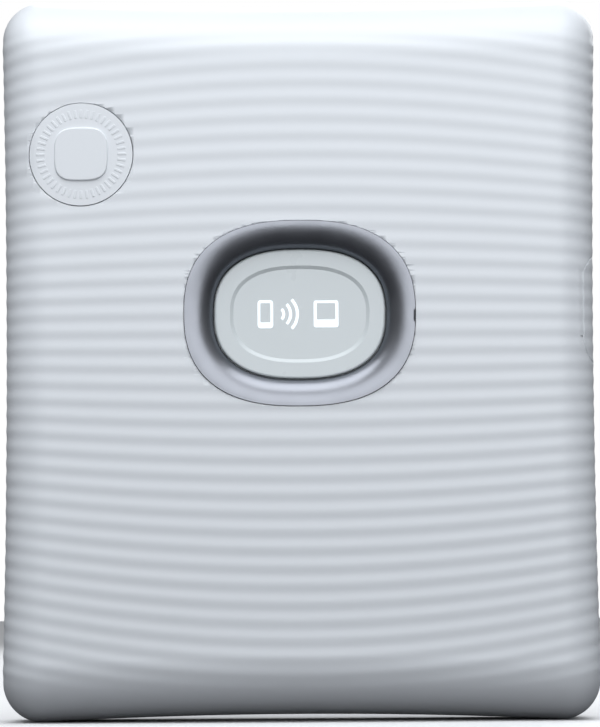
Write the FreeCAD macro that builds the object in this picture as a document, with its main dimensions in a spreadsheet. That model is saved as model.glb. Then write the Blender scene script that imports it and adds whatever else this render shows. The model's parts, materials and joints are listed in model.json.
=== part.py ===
import FreeCAD, Part
import math
import os
import re

import Sketcher
from fcgear import fcgear, involute

# A pocket printer for square instant film. Millimetres, X to the right seen
# from the front, Z up, the front face towards -Y. The origin is the middle of
# the footprint, with the two faces of the case's depth at +Y and -Y.

os.makedirs("parts", exist_ok=True)
doc = FreeCAD.newDocument("PhotoPrinter")
Vector = FreeCAD.Vector

# ---------------------------------------------------------------------------
# Driving dimensions, one cell each
# ---------------------------------------------------------------------------

SIZES = {
    # case
    "case_width": 105.3,
    "case_height": 127.9,
    "case_depth": 34.4,
    "wall": 2.0,
    "dome_radius": 800.0,
    "side_waist": 0.9,
    "end_waist": 1.2,
    "side_roll": 7.0,
    "front_roll": 10.5,
    "rear_roll": 7.5,
    "parting": 3.0,
    "panel_gap": 0.2,
    "running_gap": 0.05,
    "seam_gap": 0.12,
    # case screws and posts
    "post_inset_side": 5.65,
    "post_inset_end": 6.9,
    "front_post_radius": 2.4,
    "rear_post_radius": 3.0,
    "small_post_radius": 2.0,
    "screw_radius": 1.0,
    "screw_head_radius": 1.8,
    "screw_head_height": 1.3,
    "screw_clearance": 0.15,
    "case_screw_length": 19.0,
    "short_screw_length": 4.0,
    "chassis_screw_length": 3.6,
    "counterbore_depth": 4.2,
    # ring and power button
    "ring_level": 7.15,
    "ring_width": 40.2,
    "ring_height": 32.3,
    "ring_opening_width": 30.15,
    "ring_opening_height": 22.95,
    "ring_lip": 0.25,
    "ring_drop": 2.8,
    "ring_flange": 1.9,
    "ring_flange_thickness": 1.3,
    "ring_seat": 1.9,
    "ring_well": 3.9,
    "squareness": 2.5,
    "button_gap": 0.15,
    "button_sink": 2.45,
    "button_flange": 1.1,
    "button_flange_thickness": 1.0,
    "button_edge": 0.4,
    "dish_width": 24.4,
    "dish_height": 17.0,
    "dish_depth": 0.3,
    "dish_slope": 0.6,
    "guide_border": 1.1,
    "guide_thickness": 1.1,
    "plunger_radius": 1.5,
    "plunger_length": 1.6,
    "switch_side": 6.0,
    "switch_height": 1.4,
    "switch_floor": 0.2,
    # function button
    "function_side_inset": 14.55,
    "function_top_inset": 28.6,
    "function_radius": 9.05,
    "function_flange": 1.05,
    "function_flange_thickness": 0.8,
    "function_seat": 4.2,
    "pad_side": 9.35,
    "pad_squareness": 3.4,
    "pad_rise": 0.35,
    "pad_edge": 0.22,
    "function_switch_side": 4.5,
    "function_switch_height": 1.2,
    "function_switch_floor": 0.1,
    "function_plunger_radius": 1.2,
    "function_plunger_length": 1.3,
    "function_board_depth": 7.2,
    "function_board_width": 17.0,
    "function_board_below": 14.7,
    "function_board_above": 3.1,
    "function_post_spread": 13.5,
    "function_post_drop": 12.7,
    # boards and battery
    "board_thickness": 1.0,
    "board_depth": 7.6,
    "board_left": 28.0,
    "board_right": 40.0,
    "board_below": 21.9,
    "board_above": 27.1,
    "board_corner_inset": 3.0,
    "port_tab_height": 14.0,
    "port_below_ring": 11.1,
    "port_length": 7.3,
    "port_back": 0.5,
    "port_width": 8.94,
    "port_thickness": 3.2,
    "port_shell": 0.3,
    "port_recess": 0.55,
    "port_tongue": 0.7,
    "port_opening_gap": 0.35,
    "board_left_margin": 7.65,
    "can_width": 26.0,
    "can_height": 18.0,
    "can_thickness": 1.6,
    "chip_thickness": 1.1,
    "chip_side": 7.0,
    "antenna_width": 9.0,
    "antenna_height": 6.0,
    "antenna_thickness": 0.3,
    "battery_width": 60.0,
    "battery_height": 35.0,
    "battery_thickness": 5.4,
    "battery_gap": 1.5,
    "plug_width": 7.0,
    "plug_height": 4.0,
    "plug_inset": 0.5,
    "plug_thickness": 2.0,
    # film bay
    "film_plane": -3.6,
    "pack_width": 76.5,
    "pack_height": 92.0,
    "bay_front": -4.5,
    "bay_rear": 12.0,
    "bay_wall": 1.5,
    "exit_run": 25.4,
    "sheet_width": 75.0,
    "sheet_gap": 2.0,
    "ear_length": 5.75,
    "ear_hole_offset": 3.565,
    "ear_height": 7.0,
    "ear_low": 11.5,
    "ear_high": 65.5,
    # exit slot and light flap
    "slot_front": -5.9,
    "slot_rear": -1.3,
    "flap_y": -0.6,
    "flap_drop": 5.3,
    "flap_length": 4.5,
    "flap_thickness": 0.6,
    "flap_barrel": 1.1,
    "flap_pin_radius": 0.6,
    "flap_ear": 1.6,
    "flap_side_gap": 0.6,
    "seal_width": 2.1,
    "seal_height": 2.1,
    # print head
    "head_front": -11.2,
    "head_rear": -4.6,
    "head_height": 6.5,
    "lens_width": 68.0,
    "lens_height": 2.0,
    "lens_depth": 2.0,
    "lens_gap": 0.1,
    "lens_rise": 2.6,
    "head_board_left": 26.0,
    "head_board_right": 30.0,
    "head_board_thickness": 0.8,
    "head_board_low": 0.6,
    "head_board_high": 0.5,
    # rollers and gears
    "roller_rise": 12.0,
    "roller_radius": 3.5,
    "roller_spacing": 7.1,
    "roller_half_length": 38.5,
    "shaft_radius": 1.25,
    "bush_radius": 2.2,
    "bush_flange_radius": 2.9,
    "bush_flange": 0.7,
    "bush_reach": 1.25,
    "shaft_tail": 0.2,
    "shaft_nose": 0.1,
    "cheek_thickness": 1.2,
    "cheek_foot": 7.0,
    "cheek_foot_front": -5.5,
    "cheek_front": -10.8,
    "cheek_top": 6.0,
    "left_cheek_rear": 8.0,
    "right_cheek_rear": 14.4,
    "cheek_step": 2.5,
    "cheek_lift": 0.5,
    "cheek_foot_gap": 0.2,
    "cheek_nose": 1.2,
    "cheek_chamfer": 1.6,
    "gear_module": 0.5,
    "reduction_backlash": 0.05,
    "gear_gap": 2.6,
    "gear_width": 1.4,
    "gear_plane_gap": 0.2,
    "big_gear_width": 2.0,
    "axle_tail": 0.4,
    "pinion_gap": 0.1,
    "motor_shaft_nose": 0.2,
    "gearbox_bore_gap": 0.3,
    "reduction_angle": -80.0,
    "pinion_angle": 35.0,
    "axle_radius": 1.0,
    "gearbox_length": 9.2,
    "motor_length": 15.0,
    "motor_width": 10.0,
    "motor_height": 12.0,
    "motor_shaft_radius": 1.5,
    "motor_shaft_depth": 5.0,
    "spring_leaf": 0.3,
    "nip_leaf_below": 7.5,
    "nip_leaf_above": 2.5,
    "nip_leaf_foot": 4.0,
    # film claw
    "claw_gap": 0.35,
    "claw_thickness": 0.8,
    "claw_front": -4.3,
    "claw_rear": -1.0,
    "claw_bottom": 3.5,
    "claw_top": 77.5,
    "claw_hook_reach": 2.7,
    "claw_hook_height": 1.5,
    "claw_hook_depth": 1.2,
    "claw_travel": 4.0,
    "claw_slot_gap": 0.3,
    "claw_slot_depth_gap": 0.4,
    "claw_pin_cap": 0.6,
    "claw_tab": 1.5,
    "claw_pin_radius": 0.9,
    "claw_pin_head": 1.5,
    "claw_pin_low": 26.0,
    "claw_pin_high": 58.0,
    # door, hinge and latch
    "door_right": 43.5,
    "door_bottom_margin": 0.4,
    "door_top_rise": 3.2,
    "hinge_x": -41.5,
    "hinge_radius": 2.5,
    "hinge_pin_radius": 0.8,
    "lug_height": 3.0,
    "lug_width": 4.4,
    "hinge_pin_reach": 2.7,
    "liner_left": 38.6,
    "liner_right": 41.0,
    "liner_thickness": 1.6,
    "liner_gap": 0.6,
    "liner_rib": 2.0,
    "foam_gap": 0.05,
    "foam_width": 1.2,
    "foam_right": 39.7,
    "plate_width": 40.0,
    "plate_height": 70.0,
    "plate_thickness": 0.8,
    "plate_gap": 1.6,
    "plate_post_radius": 1.5,
    "plate_post_length": 2.6,
    "plate_post_inset": 6.0,
    "plate_leaf": 0.2,
    "plate_leaf_reach": 7.0,
    "plate_leaf_foot": 2.6,
    "plate_leaf_tip": 1.4,
    "plate_leaf_width": 5.0,
    "latch_level": 7.95,
    "latch_front": -13.4,
    "latch_rear": 1.5,
    "latch_height": 18.6,
    "latch_corner": 4.2,
    "latch_flange_front": -9.5,
    "latch_flange_border": 1.0,
    "latch_flange_thickness": 1.0,
    "latch_wall_gap": 0.55,
    "latch_arm_width": 3.0,
    "latch_arm_spread": 9.0,
    "latch_arm_rear": 9.4,
    "latch_arm_thickness": 1.0,
    "latch_hook_x": 41.2,
    "latch_hook_thickness": 0.7,
    "latch_hook_nose": 0.45,
    "hook_gap": 0.3,
    "catch_thickness": 0.5,
    "catch_nose": 0.35,
    "catch_nose_height": 0.6,
    "catch_front": 10.0,
    "catch_foot": 2.2,
    # coil springs
    "coil_wire": 0.2,
    "latch_coil_radius": 1.7,
    "latch_coil_y": 3.0,
    "claw_coil_radius": 1.1,
}

# Tooth counts, and the tooth shape that suits such small moulded gears.
ROLLER_TEETH = 14
SMALL_TEETH = 12
BIG_TEETH = 30
PRESSURE_ANGLE = 20.0
ADDENDUM = 0.8
DEDENDUM = 1.1
ROOT_FILLET = 0.3

# Shape choices that aren't sizes.
OUTLINE_POINTS = 40
RING_SECTIONS = 8
LATCH_COIL_TURNS = 6
CLAW_COIL_TURNS = 8

sheet = doc.addObject("Spreadsheet::Sheet", "Sizes")
for row, (alias, size) in enumerate(SIZES.items(), start=1):
    sheet.set(f"A{row}", alias.replace("_", " "))
    sheet.set(f"B{row}", str(size))
    sheet.setAlias(f"B{row}", alias)
doc.recompute()

# ---------------------------------------------------------------------------
# Planes and centres shared by the sub-parts, as expressions of the cells
# ---------------------------------------------------------------------------

FRONT = "(-case_depth / 2)"
REAR = "(case_depth / 2)"
SIDE = "(case_width / 2)"
OUTSIDE = "(case_width + case_height)"
MIDDLE = "(case_height / 2)"
SIDE_CURVE = "(((case_height / 2 - side_roll) ^ 2 + side_waist ^ 2) / (2 * side_waist))"
END_CURVE = "(((case_width / 2 - side_roll) ^ 2 + end_waist ^ 2) / (2 * end_waist))"
SIDE_INNER = "(case_width / 2 - side_waist - wall)"

RING_Z = f"({MIDDLE} + ring_level)"
LATCH_Z = f"({MIDDLE} + latch_level)"
SEAT = f"({FRONT} + ring_seat)"
WELL_END = f"({FRONT} + ring_well)"
BUTTON_FACE = f"({FRONT} + button_sink)"
BUTTON_BACK = f"({WELL_END} + running_gap * 2 + button_flange_thickness)"
BOARD_FRONT = f"({FRONT} + board_depth)"
BOARD_BACK = f"({BOARD_FRONT} + board_thickness)"

FUNCTION_X = f"(function_side_inset - {SIDE})"
FUNCTION_Z = "(case_height - function_top_inset)"
FUNCTION_SEAT = f"({FRONT} + function_seat)"
FUNCTION_BACK = f"({FUNCTION_SEAT} + running_gap * 2 + function_flange_thickness)"
FUNCTION_BOARD = f"({FRONT} + function_board_depth)"

BAY_TOP = "(case_height - exit_run)"
BAY_BOTTOM = f"({BAY_TOP} - pack_height)"
BAY_SIDE = "(pack_width / 2)"
CHASSIS_SIDE = "(pack_width / 2 + bay_wall)"
CHASSIS_TOP = f"({BAY_TOP} + bay_wall)"
CHASSIS_BOTTOM = f"({BAY_BOTTOM} - bay_wall)"
CHASSIS_FRONT = "(bay_front - bay_wall)"
EAR_HOLE_X = f"({CHASSIS_SIDE} + ear_hole_offset)"

ROLLER_Z = f"({BAY_TOP} + roller_rise)"
FRONT_ROLLER_Y = "(film_plane - roller_spacing / 2)"
REAR_ROLLER_Y = "(film_plane + roller_spacing / 2)"
CHEEK_OUT = f"({CHASSIS_SIDE} + cheek_thickness)"
GEAR_X = f"({CHEEK_OUT} + gear_gap)"
BIG_GEAR_X = f"({GEAR_X} + gear_width + gear_plane_gap)"
REDUCTION_REACH = (
    f"(gear_module * {ROLLER_TEETH + SMALL_TEETH} / 2 + reduction_backlash)"
)
PINION_REACH = f"(gear_module * {BIG_TEETH + SMALL_TEETH} / 2 + reduction_backlash)"
REDUCTION_Y = f"({REAR_ROLLER_Y} + {REDUCTION_REACH} * cos(reduction_angle * 1deg))"
REDUCTION_Z = f"({ROLLER_Z} + {REDUCTION_REACH} * sin(reduction_angle * 1deg))"
PINION_Y = f"({REDUCTION_Y} + {PINION_REACH} * cos(pinion_angle * 1deg))"
PINION_Z = f"({REDUCTION_Z} + {PINION_REACH} * sin(pinion_angle * 1deg))"

FLAP_Z = "(case_height - flap_drop)"

DOOR_INNER = f"({REAR} - wall)"
DOOR_BOTTOM = f"({BAY_BOTTOM} - bay_wall - door_bottom_margin)"
DOOR_TOP = f"({BAY_TOP} + door_top_rise)"
HINGE_Y = f"({REAR} - hinge_radius)"
LINER_FRONT = "(bay_rear + liner_gap)"
PLATE_BACK = f"({LINER_FRONT} - plate_gap)"
LATCH_FLANGE_X = f"({SIDE_INNER} - latch_wall_gap - latch_flange_thickness)"
CATCH_X = "(door_right - running_gap - catch_thickness)"


def sized(expression):
    """The expression with each alias pointed at the sheet."""
    return re.sub(r"[a-z][a-z_]*", _sheet_name, expression)


def _sheet_name(word):
    name = word.group()
    return "Sizes." + name if name in SIZES else name


def number(expression):
    """The value of an expression of the cells, in millimetres."""
    return float(sheet.evalExpression(sized(str(expression))))


def bind(item, prop, expression):
    item.setExpression(prop, sized(str(expression)))


def place(item, x="0", y="0", z="0"):
    for axis, expression in zip("xyz", (x, y, z)):
        bind(item, f"Placement.Base.{axis}", expression)
    return item


# ---------------------------------------------------------------------------
# Shape helpers
# ---------------------------------------------------------------------------

ALONG = {
    "X": FreeCAD.Rotation(Vector(0, 1, 0), 90),
    "Y": FreeCAD.Rotation(Vector(1, 0, 0), -90),
    "Z": FreeCAD.Rotation(),
}


def around(centre, length):
    """The two ends of a length that is centred on a place."""
    return f"({centre}) - ({length}) / 2", f"({centre}) + ({length}) / 2"


def past(low, length):
    """The two ends of a length that starts at a place."""
    return str(low), f"({low}) + ({length})"


def both(half):
    """The two ends of a width that is centred on the middle plane."""
    return f"-({half})", f"({half})"


def block(name, x, y, z):
    """A box between three pairs of planes."""
    item = doc.addObject("Part::Box", name)
    for prop, (low, high) in (("Length", x), ("Width", y), ("Height", z)):
        bind(item, prop, f"({high}) - ({low})")
    return place(item, x[0], y[0], z[0])


def rod(name, axis, x, y, z, radius):
    """A cylinder along an axis; the pair of places is given on that axis."""
    item = doc.addObject("Part::Cylinder", name)
    ends = {"X": x, "Y": y, "Z": z}[axis]
    bind(item, "Radius", radius)
    bind(item, "Height", f"({ends[1]}) - ({ends[0]})")
    item.Placement = FreeCAD.Placement(Vector(), ALONG[axis])
    start = {"X": x, "Y": y, "Z": z, axis: ends[0]}
    return place(item, start["X"], start["Y"], start["Z"])


def cut(name, base, *tools):
    item = doc.addObject("Part::Cut", name)
    item.Base = base
    item.Tool = tools[0] if len(tools) == 1 else fuse(name + "_tools", *tools)
    return item


def fuse(name, *pieces):
    item = doc.addObject("Part::MultiFuse", name)
    item.Shapes = list(pieces)
    return item


def common(name, *pieces):
    item = doc.addObject("Part::MultiCommon", name)
    item.Shapes = list(pieces)
    return item


def group(name, *pieces):
    """Several separate solids in one node."""
    item = doc.addObject("Part::Compound", name)
    item.Links = list(pieces)
    return item


def mirrored(name, source):
    """A copy on the other side of the middle plane."""
    item = doc.addObject("Part::Mirroring", name)
    item.Source = source
    item.Normal = Vector(1, 0, 0)
    return item


def rounded(name, base, radius, chosen):
    """Round the edges of a solid that a test picks."""
    doc.recompute()
    item = doc.addObject("Part::Fillet", name)
    item.Base = base
    size = number(radius)
    edges = enumerate(base.Shape.Edges, start=1)
    item.Edges = [(index, size, size) for index, edge in edges if chosen(edge)]
    return item


def superellipse(name, width, height, x, y, z, squareness="squareness"):
    """A closed curve in an XZ plane, between an ellipse and a rectangle."""
    power = 2 / number(squareness)
    half_width = number(width) / 2
    half_height = number(height) / 2
    points = []
    for step in range(OUTLINE_POINTS):
        angle = 2 * math.pi * step / OUTLINE_POINTS
        across = math.copysign(abs(math.cos(angle)) ** power, math.cos(angle))
        up = math.copysign(abs(math.sin(angle)) ** power, math.sin(angle))
        points.append(Vector(half_width * across, 0, half_height * up))
    curve = Part.BSplineCurve()
    curve.interpolate(Points=points, PeriodicFlag=True)
    item = doc.addObject("Part::Feature", name)
    item.Shape = Part.Wire([curve.toShape()])
    return place(item, x, y, z)


def oval(name, width, height, x, y, z, squareness="squareness"):
    """A superellipse extruded along Y between two planes."""
    outline = superellipse(name + "_outline", width, height, x, y[0], z, squareness)
    item = doc.addObject("Part::Extrusion", name)
    item.Base = outline
    item.DirMode = "Custom"
    item.Dir = Vector(0, 1, 0)
    item.Solid = True
    bind(item, "LengthFwd", f"({y[1]}) - ({y[0]})")
    return item


def coil(name, axis, x, y, z, radius, turns):
    """A compression spring along an axis, its ends just inside two places."""
    wire = number("coil_wire")
    low, high = {"X": x, "Y": y, "Z": z}[axis]
    length = number(f"({high}) - ({low})") - 2 * wire
    helix = Part.makeHelix(length / turns, length, number(radius))
    start = Vector(number(radius), 0, 0)
    profile = Part.Wire([Part.Circle(start, Vector(0, 1, 0), wire).toShape()])
    item = doc.addObject("Part::Feature", name)
    item.Shape = Part.Wire(helix).makePipeShell([profile], True, True)
    item.Placement = FreeCAD.Placement(Vector(), ALONG[axis])
    start = {"X": x, "Y": y, "Z": z, axis: f"({low}) + coil_wire"}
    return place(item, start["X"], start["Y"], start["Z"])


def sketch_on(body, role, offset):
    """A sketch on one of the body's own origin planes, moved off it."""
    sketch = body.newObject("Sketcher::SketchObject", body.Name + "_sketch")
    plane = next(item for item in body.Origin.OriginFeatures if item.Role == role)
    sketch.AttachmentSupport = [(plane, "")]
    sketch.MapMode = "FlatFace"
    bind(sketch, "AttachmentOffset.Base.z", offset)
    return sketch


def draw_outline(sketch, corners):
    """A closed outline whose corners are bound to pairs of expressions."""
    count = len(corners)
    points = [Vector(number(across), number(up), 0) for across, up in corners]
    for index in range(count):
        line = Part.LineSegment(points[index], points[(index + 1) % count])
        sketch.addGeometry(line, False)
    for index in range(count):
        ends = (index, 2, (index + 1) % count, 1)
        sketch.addConstraint(Sketcher.Constraint("Coincident", *ends))
    for index, corner in enumerate(corners):
        for kind, expression in zip(("DistanceX", "DistanceY"), corner):
            value = number(expression)
            rule = Sketcher.Constraint(kind, -1, 1, index, 1, value)
            place_in_list = sketch.addConstraint(rule)
            bind(sketch, f"Constraints[{place_in_list}]", expression)


def draw_hole(sketch, across, up, radius):
    """A round hole in a sketch, bound to expressions."""
    centre = Vector(number(across), number(up), 0)
    circle = Part.Circle(centre, Vector(0, 0, 1), number(radius))
    index = sketch.addGeometry(circle, False)
    rules = (
        (Sketcher.Constraint("DistanceX", -1, 1, index, 3, centre.x), across),
        (Sketcher.Constraint("DistanceY", -1, 1, index, 3, centre.y), up),
        (Sketcher.Constraint("Radius", index, number(radius)), radius),
    )
    for rule, expression in rules:
        place_in_list = sketch.addConstraint(rule)
        bind(sketch, f"Constraints[{place_in_list}]", expression)


def sheet_part(name, facing, corners, holes, low, thickness):
    """A flat padded body: facing Y is drawn in X and Z, X in Y and Z, and Z in X and Y."""
    body = doc.addObject("PartDesign::Body", name)
    if facing == "Y":
        # The XZ plane's normal is -Y, so the pad grows from the far face.
        sketch = sketch_on(body, "XZ_Plane", f"-(({low}) + ({thickness}))")
    elif facing == "Z":
        sketch = sketch_on(body, "XY_Plane", low)
    else:
        sketch = sketch_on(body, "YZ_Plane", low)
    draw_outline(sketch, corners)
    for across, up, radius in holes:
        draw_hole(sketch, across, up, radius)
    pad = body.newObject("PartDesign::Pad", name + "_pad")
    pad.Profile = sketch
    bind(pad, "Length", thickness)
    return body


def turned_part(name, corners):
    """A body turned about its own X axis from corners of (x, radius)."""
    body = doc.addObject("PartDesign::Body", name)
    sketch = sketch_on(body, "XY_Plane", "0")
    draw_outline(sketch, corners)
    turn = body.newObject("PartDesign::Revolution", name + "_turn")
    turn.Profile = sketch
    axis = next(item for item in body.Origin.OriginFeatures if item.Role == "X_Axis")
    turn.ReferenceAxis = (axis, [""])
    turn.Angle = 360
    return body


def oblong(low_x, high_x, low_z, high_z):
    """The four corners of a rectangle for a sketch."""
    return (
        (low_x, low_z),
        (high_x, low_z),
        (high_x, high_z),
        (low_x, high_z),
    )


NODES = []


def node(name, item):
    """Name a finished sub-part; its label names its file."""
    item.Label = name
    NODES.append(item)
    return item


# ---------------------------------------------------------------------------
# The case's outer form, and the same form one wall further in
# ---------------------------------------------------------------------------


def pillow(name, inset):
    """A domed block with waisted sides and rolled edges, moved in by an inset."""
    over = "case_depth"
    blank = block(
        name + "_blank",
        both(f"{SIDE} + {over}"),
        (f"{FRONT} + {inset}", f"{REAR} - {inset}"),
        (f"-{over}", f"case_height + {over}"),
    )
    dome = doc.addObject("Part::Sphere", name + "_dome")
    bind(dome, "Radius", f"dome_radius - {inset}")
    place(dome, "0", f"{FRONT} + dome_radius", MIDDLE)
    bounds = (f"{FRONT} - {over}", f"{REAR} + {over}")
    side_centre = f"({SIDE} - side_waist + {SIDE_CURVE})"
    end_centre = f"(end_waist - {END_CURVE})"
    side_size = f"{SIDE_CURVE} + {inset}"
    end_size = f"{END_CURVE} + {inset}"
    scoops = (
        rod(name + "_right", "Y", side_centre, bounds, MIDDLE, side_size),
        rod(name + "_left", "Y", f"-{side_centre}", bounds, MIDDLE, side_size),
        rod(name + "_under", "Y", "0", bounds, end_centre, end_size),
        rod(name + "_over", "Y", "0", bounds, f"case_height - {end_centre}", end_size),
    )
    item = common(name + "_domed", blank, dome)
    for index, scoop in enumerate(scoops):
        item = cut(f"{name}_scooped_{index}", item, scoop)
    across = number("case_width") / 2

    def is_front_end(edge):
        box = edge.BoundBox
        return box.XLength > across and box.YMin < 0

    def is_rear_end(edge):
        box = edge.BoundBox
        return box.XLength > across and box.YMin > 0

    def is_side(edge):
        box = edge.BoundBox
        return box.XLength < across / 4 and abs(box.Center.x) > across * 0.75

    item = rounded(name + "_front", item, f"front_roll - {inset}", is_front_end)
    item = rounded(name + "_rear", item, f"rear_roll - {inset}", is_rear_end)
    return rounded(name, item, f"side_roll - {inset}", is_side)


def corner_places():
    for x in (f"({SIDE} - post_inset_side)", f"(post_inset_side - {SIDE})"):
        for z in ("post_inset_end", "(case_height - post_inset_end)"):
            yield x, z


def board_post_places():
    inset = "board_corner_inset"
    for x in (f"({inset} - board_left)", f"(board_right - {inset})"):
        for z in (f"({RING_Z} - board_below + {inset})", f"({RING_Z} + board_above - {inset})"):
            yield x, z


def ear_places():
    for x in (EAR_HOLE_X, f"(-{EAR_HOLE_X})"):
        for z in (f"({BAY_BOTTOM} + ear_low)", f"({BAY_BOTTOM} + ear_high)"):
            yield x, z


def function_post_places():
    for x in (f"({FUNCTION_X} - function_post_spread / 2)", f"({FUNCTION_X} + function_post_spread / 2)"):
        yield x, f"({FUNCTION_Z} - function_post_drop)"


def screws(name, places, underside, length):
    """Screws along -Y whose heads sit on a plane."""
    pieces = []
    for index, (x, z) in enumerate(places):
        shank = (f"({underside}) - ({length})", underside)
        head = past(underside, "screw_head_height")
        pieces.append(
            fuse(
                f"{name}_{index}",
                rod(f"{name}_shank_{index}", "Y", x, shank, z, "screw_radius"),
                rod(f"{name}_head_{index}", "Y", x, head, z, "screw_head_radius"),
            )
        )
    return node(name, group(name, *pieces))


def rods_at(name, places, span, radius):
    return [
        rod(f"{name}_{index}", "Y", x, span, z, radius)
        for index, (x, z) in enumerate(places)
    ]


def latch_prism(name, x, gap):
    """The latch's rounded outline, extruded along X."""
    item = block(
        name + "_block",
        x,
        (f"latch_front - {gap}", f"latch_rear + {gap}"),
        around(LATCH_Z, f"latch_height + 2 * {gap}"),
    )

    def is_along_x(edge):
        box = edge.BoundBox
        return box.YLength < 0.01 and box.ZLength < 0.01

    return rounded(name, item, f"latch_corner + {gap}", is_along_x)


def port_prism(name, x, grow):
    """The charging port's outline, extruded along X."""
    port_y = around(f"{BOARD_BACK} + port_thickness / 2", f"port_thickness + 2 * {grow}")
    port_z = around(f"{RING_Z} - port_below_ring", f"port_width + 2 * {grow}")
    item = block(name + "_block", x, port_y, port_z)

    def is_along_x(edge):
        box = edge.BoundBox
        return box.YLength < 0.01 and box.ZLength < 0.01

    return rounded(name, item, f"port_thickness / 2 + {grow} - 0.05", is_along_x)


def case(outer, inner):
    """The two halves of the case."""
    hollow = cut("case_walls", outer, inner)
    front_space = block(
        "front_space", both(OUTSIDE), (f"-{OUTSIDE}", "parting"), (f"-{OUTSIDE}", OUTSIDE)
    )
    rear_space = block(
        "rear_space", both(OUTSIDE), ("parting", OUTSIDE), (f"-{OUTSIDE}", OUTSIDE)
    )

    # front: walls, posts and the flap's two ears
    to_parting = (FRONT, "parting")
    posts = fuse(
        "front_posts_long",
        *rods_at("corner_post", corner_places(), to_parting, "front_post_radius"),
        *rods_at("ear_post", ear_places(), (FRONT, CHASSIS_FRONT), "front_post_radius"),
        *rods_at("board_post", board_post_places(), (FRONT, BOARD_FRONT), "small_post_radius"),
        *rods_at("function_post", function_post_places(), (FRONT, FUNCTION_BOARD), "small_post_radius"),
        *[
            block(
                f"flap_ear_{index}",
                past(low, "flap_ear"),
                around("flap_y", "flap_barrel * 2.2"),
                (f"{FLAP_Z} - flap_barrel", "case_height"),
            )
            for index, low in enumerate(
                ("sheet_width / 2", "-(sheet_width / 2) - flap_ear")
            )
        ],
    )
    front_half = common("front_half", outer, front_space)
    front_room = cut("front_room", inner, posts)
    ring_hole = oval(
        "ring_hole",
        "ring_width + 2 * seam_gap",
        "ring_height + 2 * seam_gap",
        "0",
        (f"{FRONT} - wall", f"{FRONT} + 2 * wall"),
        RING_Z,
    )
    ring_pocket = oval(
        "ring_pocket",
        "ring_width + 2 * ring_flange + 2 * seam_gap",
        "ring_height + 2 * ring_flange + 2 * seam_gap",
        "0",
        (SEAT, f"{SEAT} + 2 * wall"),
        RING_Z,
    )
    function_hole = rod(
        "function_hole", "Y", FUNCTION_X, (f"{FRONT} - wall", FUNCTION_SEAT), FUNCTION_Z,
        "function_radius + button_gap",
    )
    function_pocket = rod(
        "function_pocket", "Y", FUNCTION_X, past(FUNCTION_SEAT, "2 * wall"), FUNCTION_Z,
        "function_radius + function_flange + button_gap",
    )
    exit_slot = block(
        "exit_slot",
        both("sheet_width / 2"),
        ("slot_front", "slot_rear"),
        (f"{FLAP_Z} - flap_barrel * 2", "case_height + wall"),
    )
    front = cut(
        "front_cut",
        cut("front_walls", front_half, front_room),
        ring_hole,
        ring_pocket,
        function_hole,
        function_pocket,
        exit_slot,
        latch_prism("latch_hole", (f"{SIDE} - wall * 4", f"{SIDE} + wall"), "panel_gap"),
        port_prism("port_hole", (f"-{SIDE} - wall", f"-{SIDE} + wall * 2.5"), "port_opening_gap"),
        rod("flap_pin_hole", "X", both("sheet_width / 2 + flap_ear + wall"), "flap_y", FLAP_Z,
            "flap_pin_radius"),
        *rods_at("corner_hole", corner_places(), (f"{FRONT} + wall * 4", "parting"), "screw_radius"),
        *rods_at("ear_thread", ear_places(), past(f"{CHASSIS_FRONT} - short_screw_length",
                 "short_screw_length"), "screw_radius"),
        *rods_at("board_thread", board_post_places(), past(f"{BOARD_FRONT} - short_screw_length / 2",
                 "short_screw_length"), "screw_radius"),
        *rods_at("function_thread", function_post_places(), past(
                 f"{FUNCTION_BOARD} - short_screw_length / 2", "short_screw_length"), "screw_radius"),
    )
    node("front_shell", front)

    # rear: walls, posts and the door hinge's two lugs
    lugs = [
        block(
            f"hinge_lug_{index}",
            around("hinge_x", "lug_width"),
            (f"{HINGE_Y} - hinge_radius", REAR),
            span,
        )
        for index, span in enumerate(
            (
                (f"{DOOR_BOTTOM} - panel_gap - lug_height", f"{DOOR_BOTTOM} - panel_gap"),
                past(f"{DOOR_TOP} + panel_gap", "lug_height"),
            )
        )
    ]
    rear_posts = fuse(
        "rear_posts_long",
        *rods_at("rear_post", corner_places(), ("parting", REAR), "rear_post_radius"),
        *lugs,
    )
    rear_half = common("rear_half", outer, rear_space)
    rear_room = cut("rear_room", inner, rear_posts)
    doorway = block(
        "doorway",
        ("hinge_x - hinge_radius - panel_gap", "door_right + panel_gap"),
        (f"{HINGE_Y} - hinge_radius - wall", f"{REAR} + wall"),
        (f"{DOOR_BOTTOM} - panel_gap", f"{DOOR_TOP} + panel_gap"),
    )
    counterbore = (f"{REAR} - counterbore_depth", f"{REAR} + wall")
    clear = "screw_radius + screw_clearance"
    rear = cut(
        "rear_cut",
        cut("rear_walls", rear_half, rear_room),
        doorway,
        rod("hinge_pin_hole", "Z", "hinge_x", HINGE_Y, (
            f"{DOOR_BOTTOM} - panel_gap - hinge_pin_reach",
            f"{DOOR_TOP} + panel_gap + hinge_pin_reach"), "hinge_pin_radius"),
        *rods_at("corner_clear", corner_places(), ("parting", REAR), clear),
        *rods_at("counterbore", corner_places(), counterbore,
                 "screw_head_radius + screw_clearance"),
    )
    node("rear_shell", rear)
    screws("case_screws", corner_places(), f"{REAR} - counterbore_depth", "case_screw_length")
    return hollow


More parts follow.
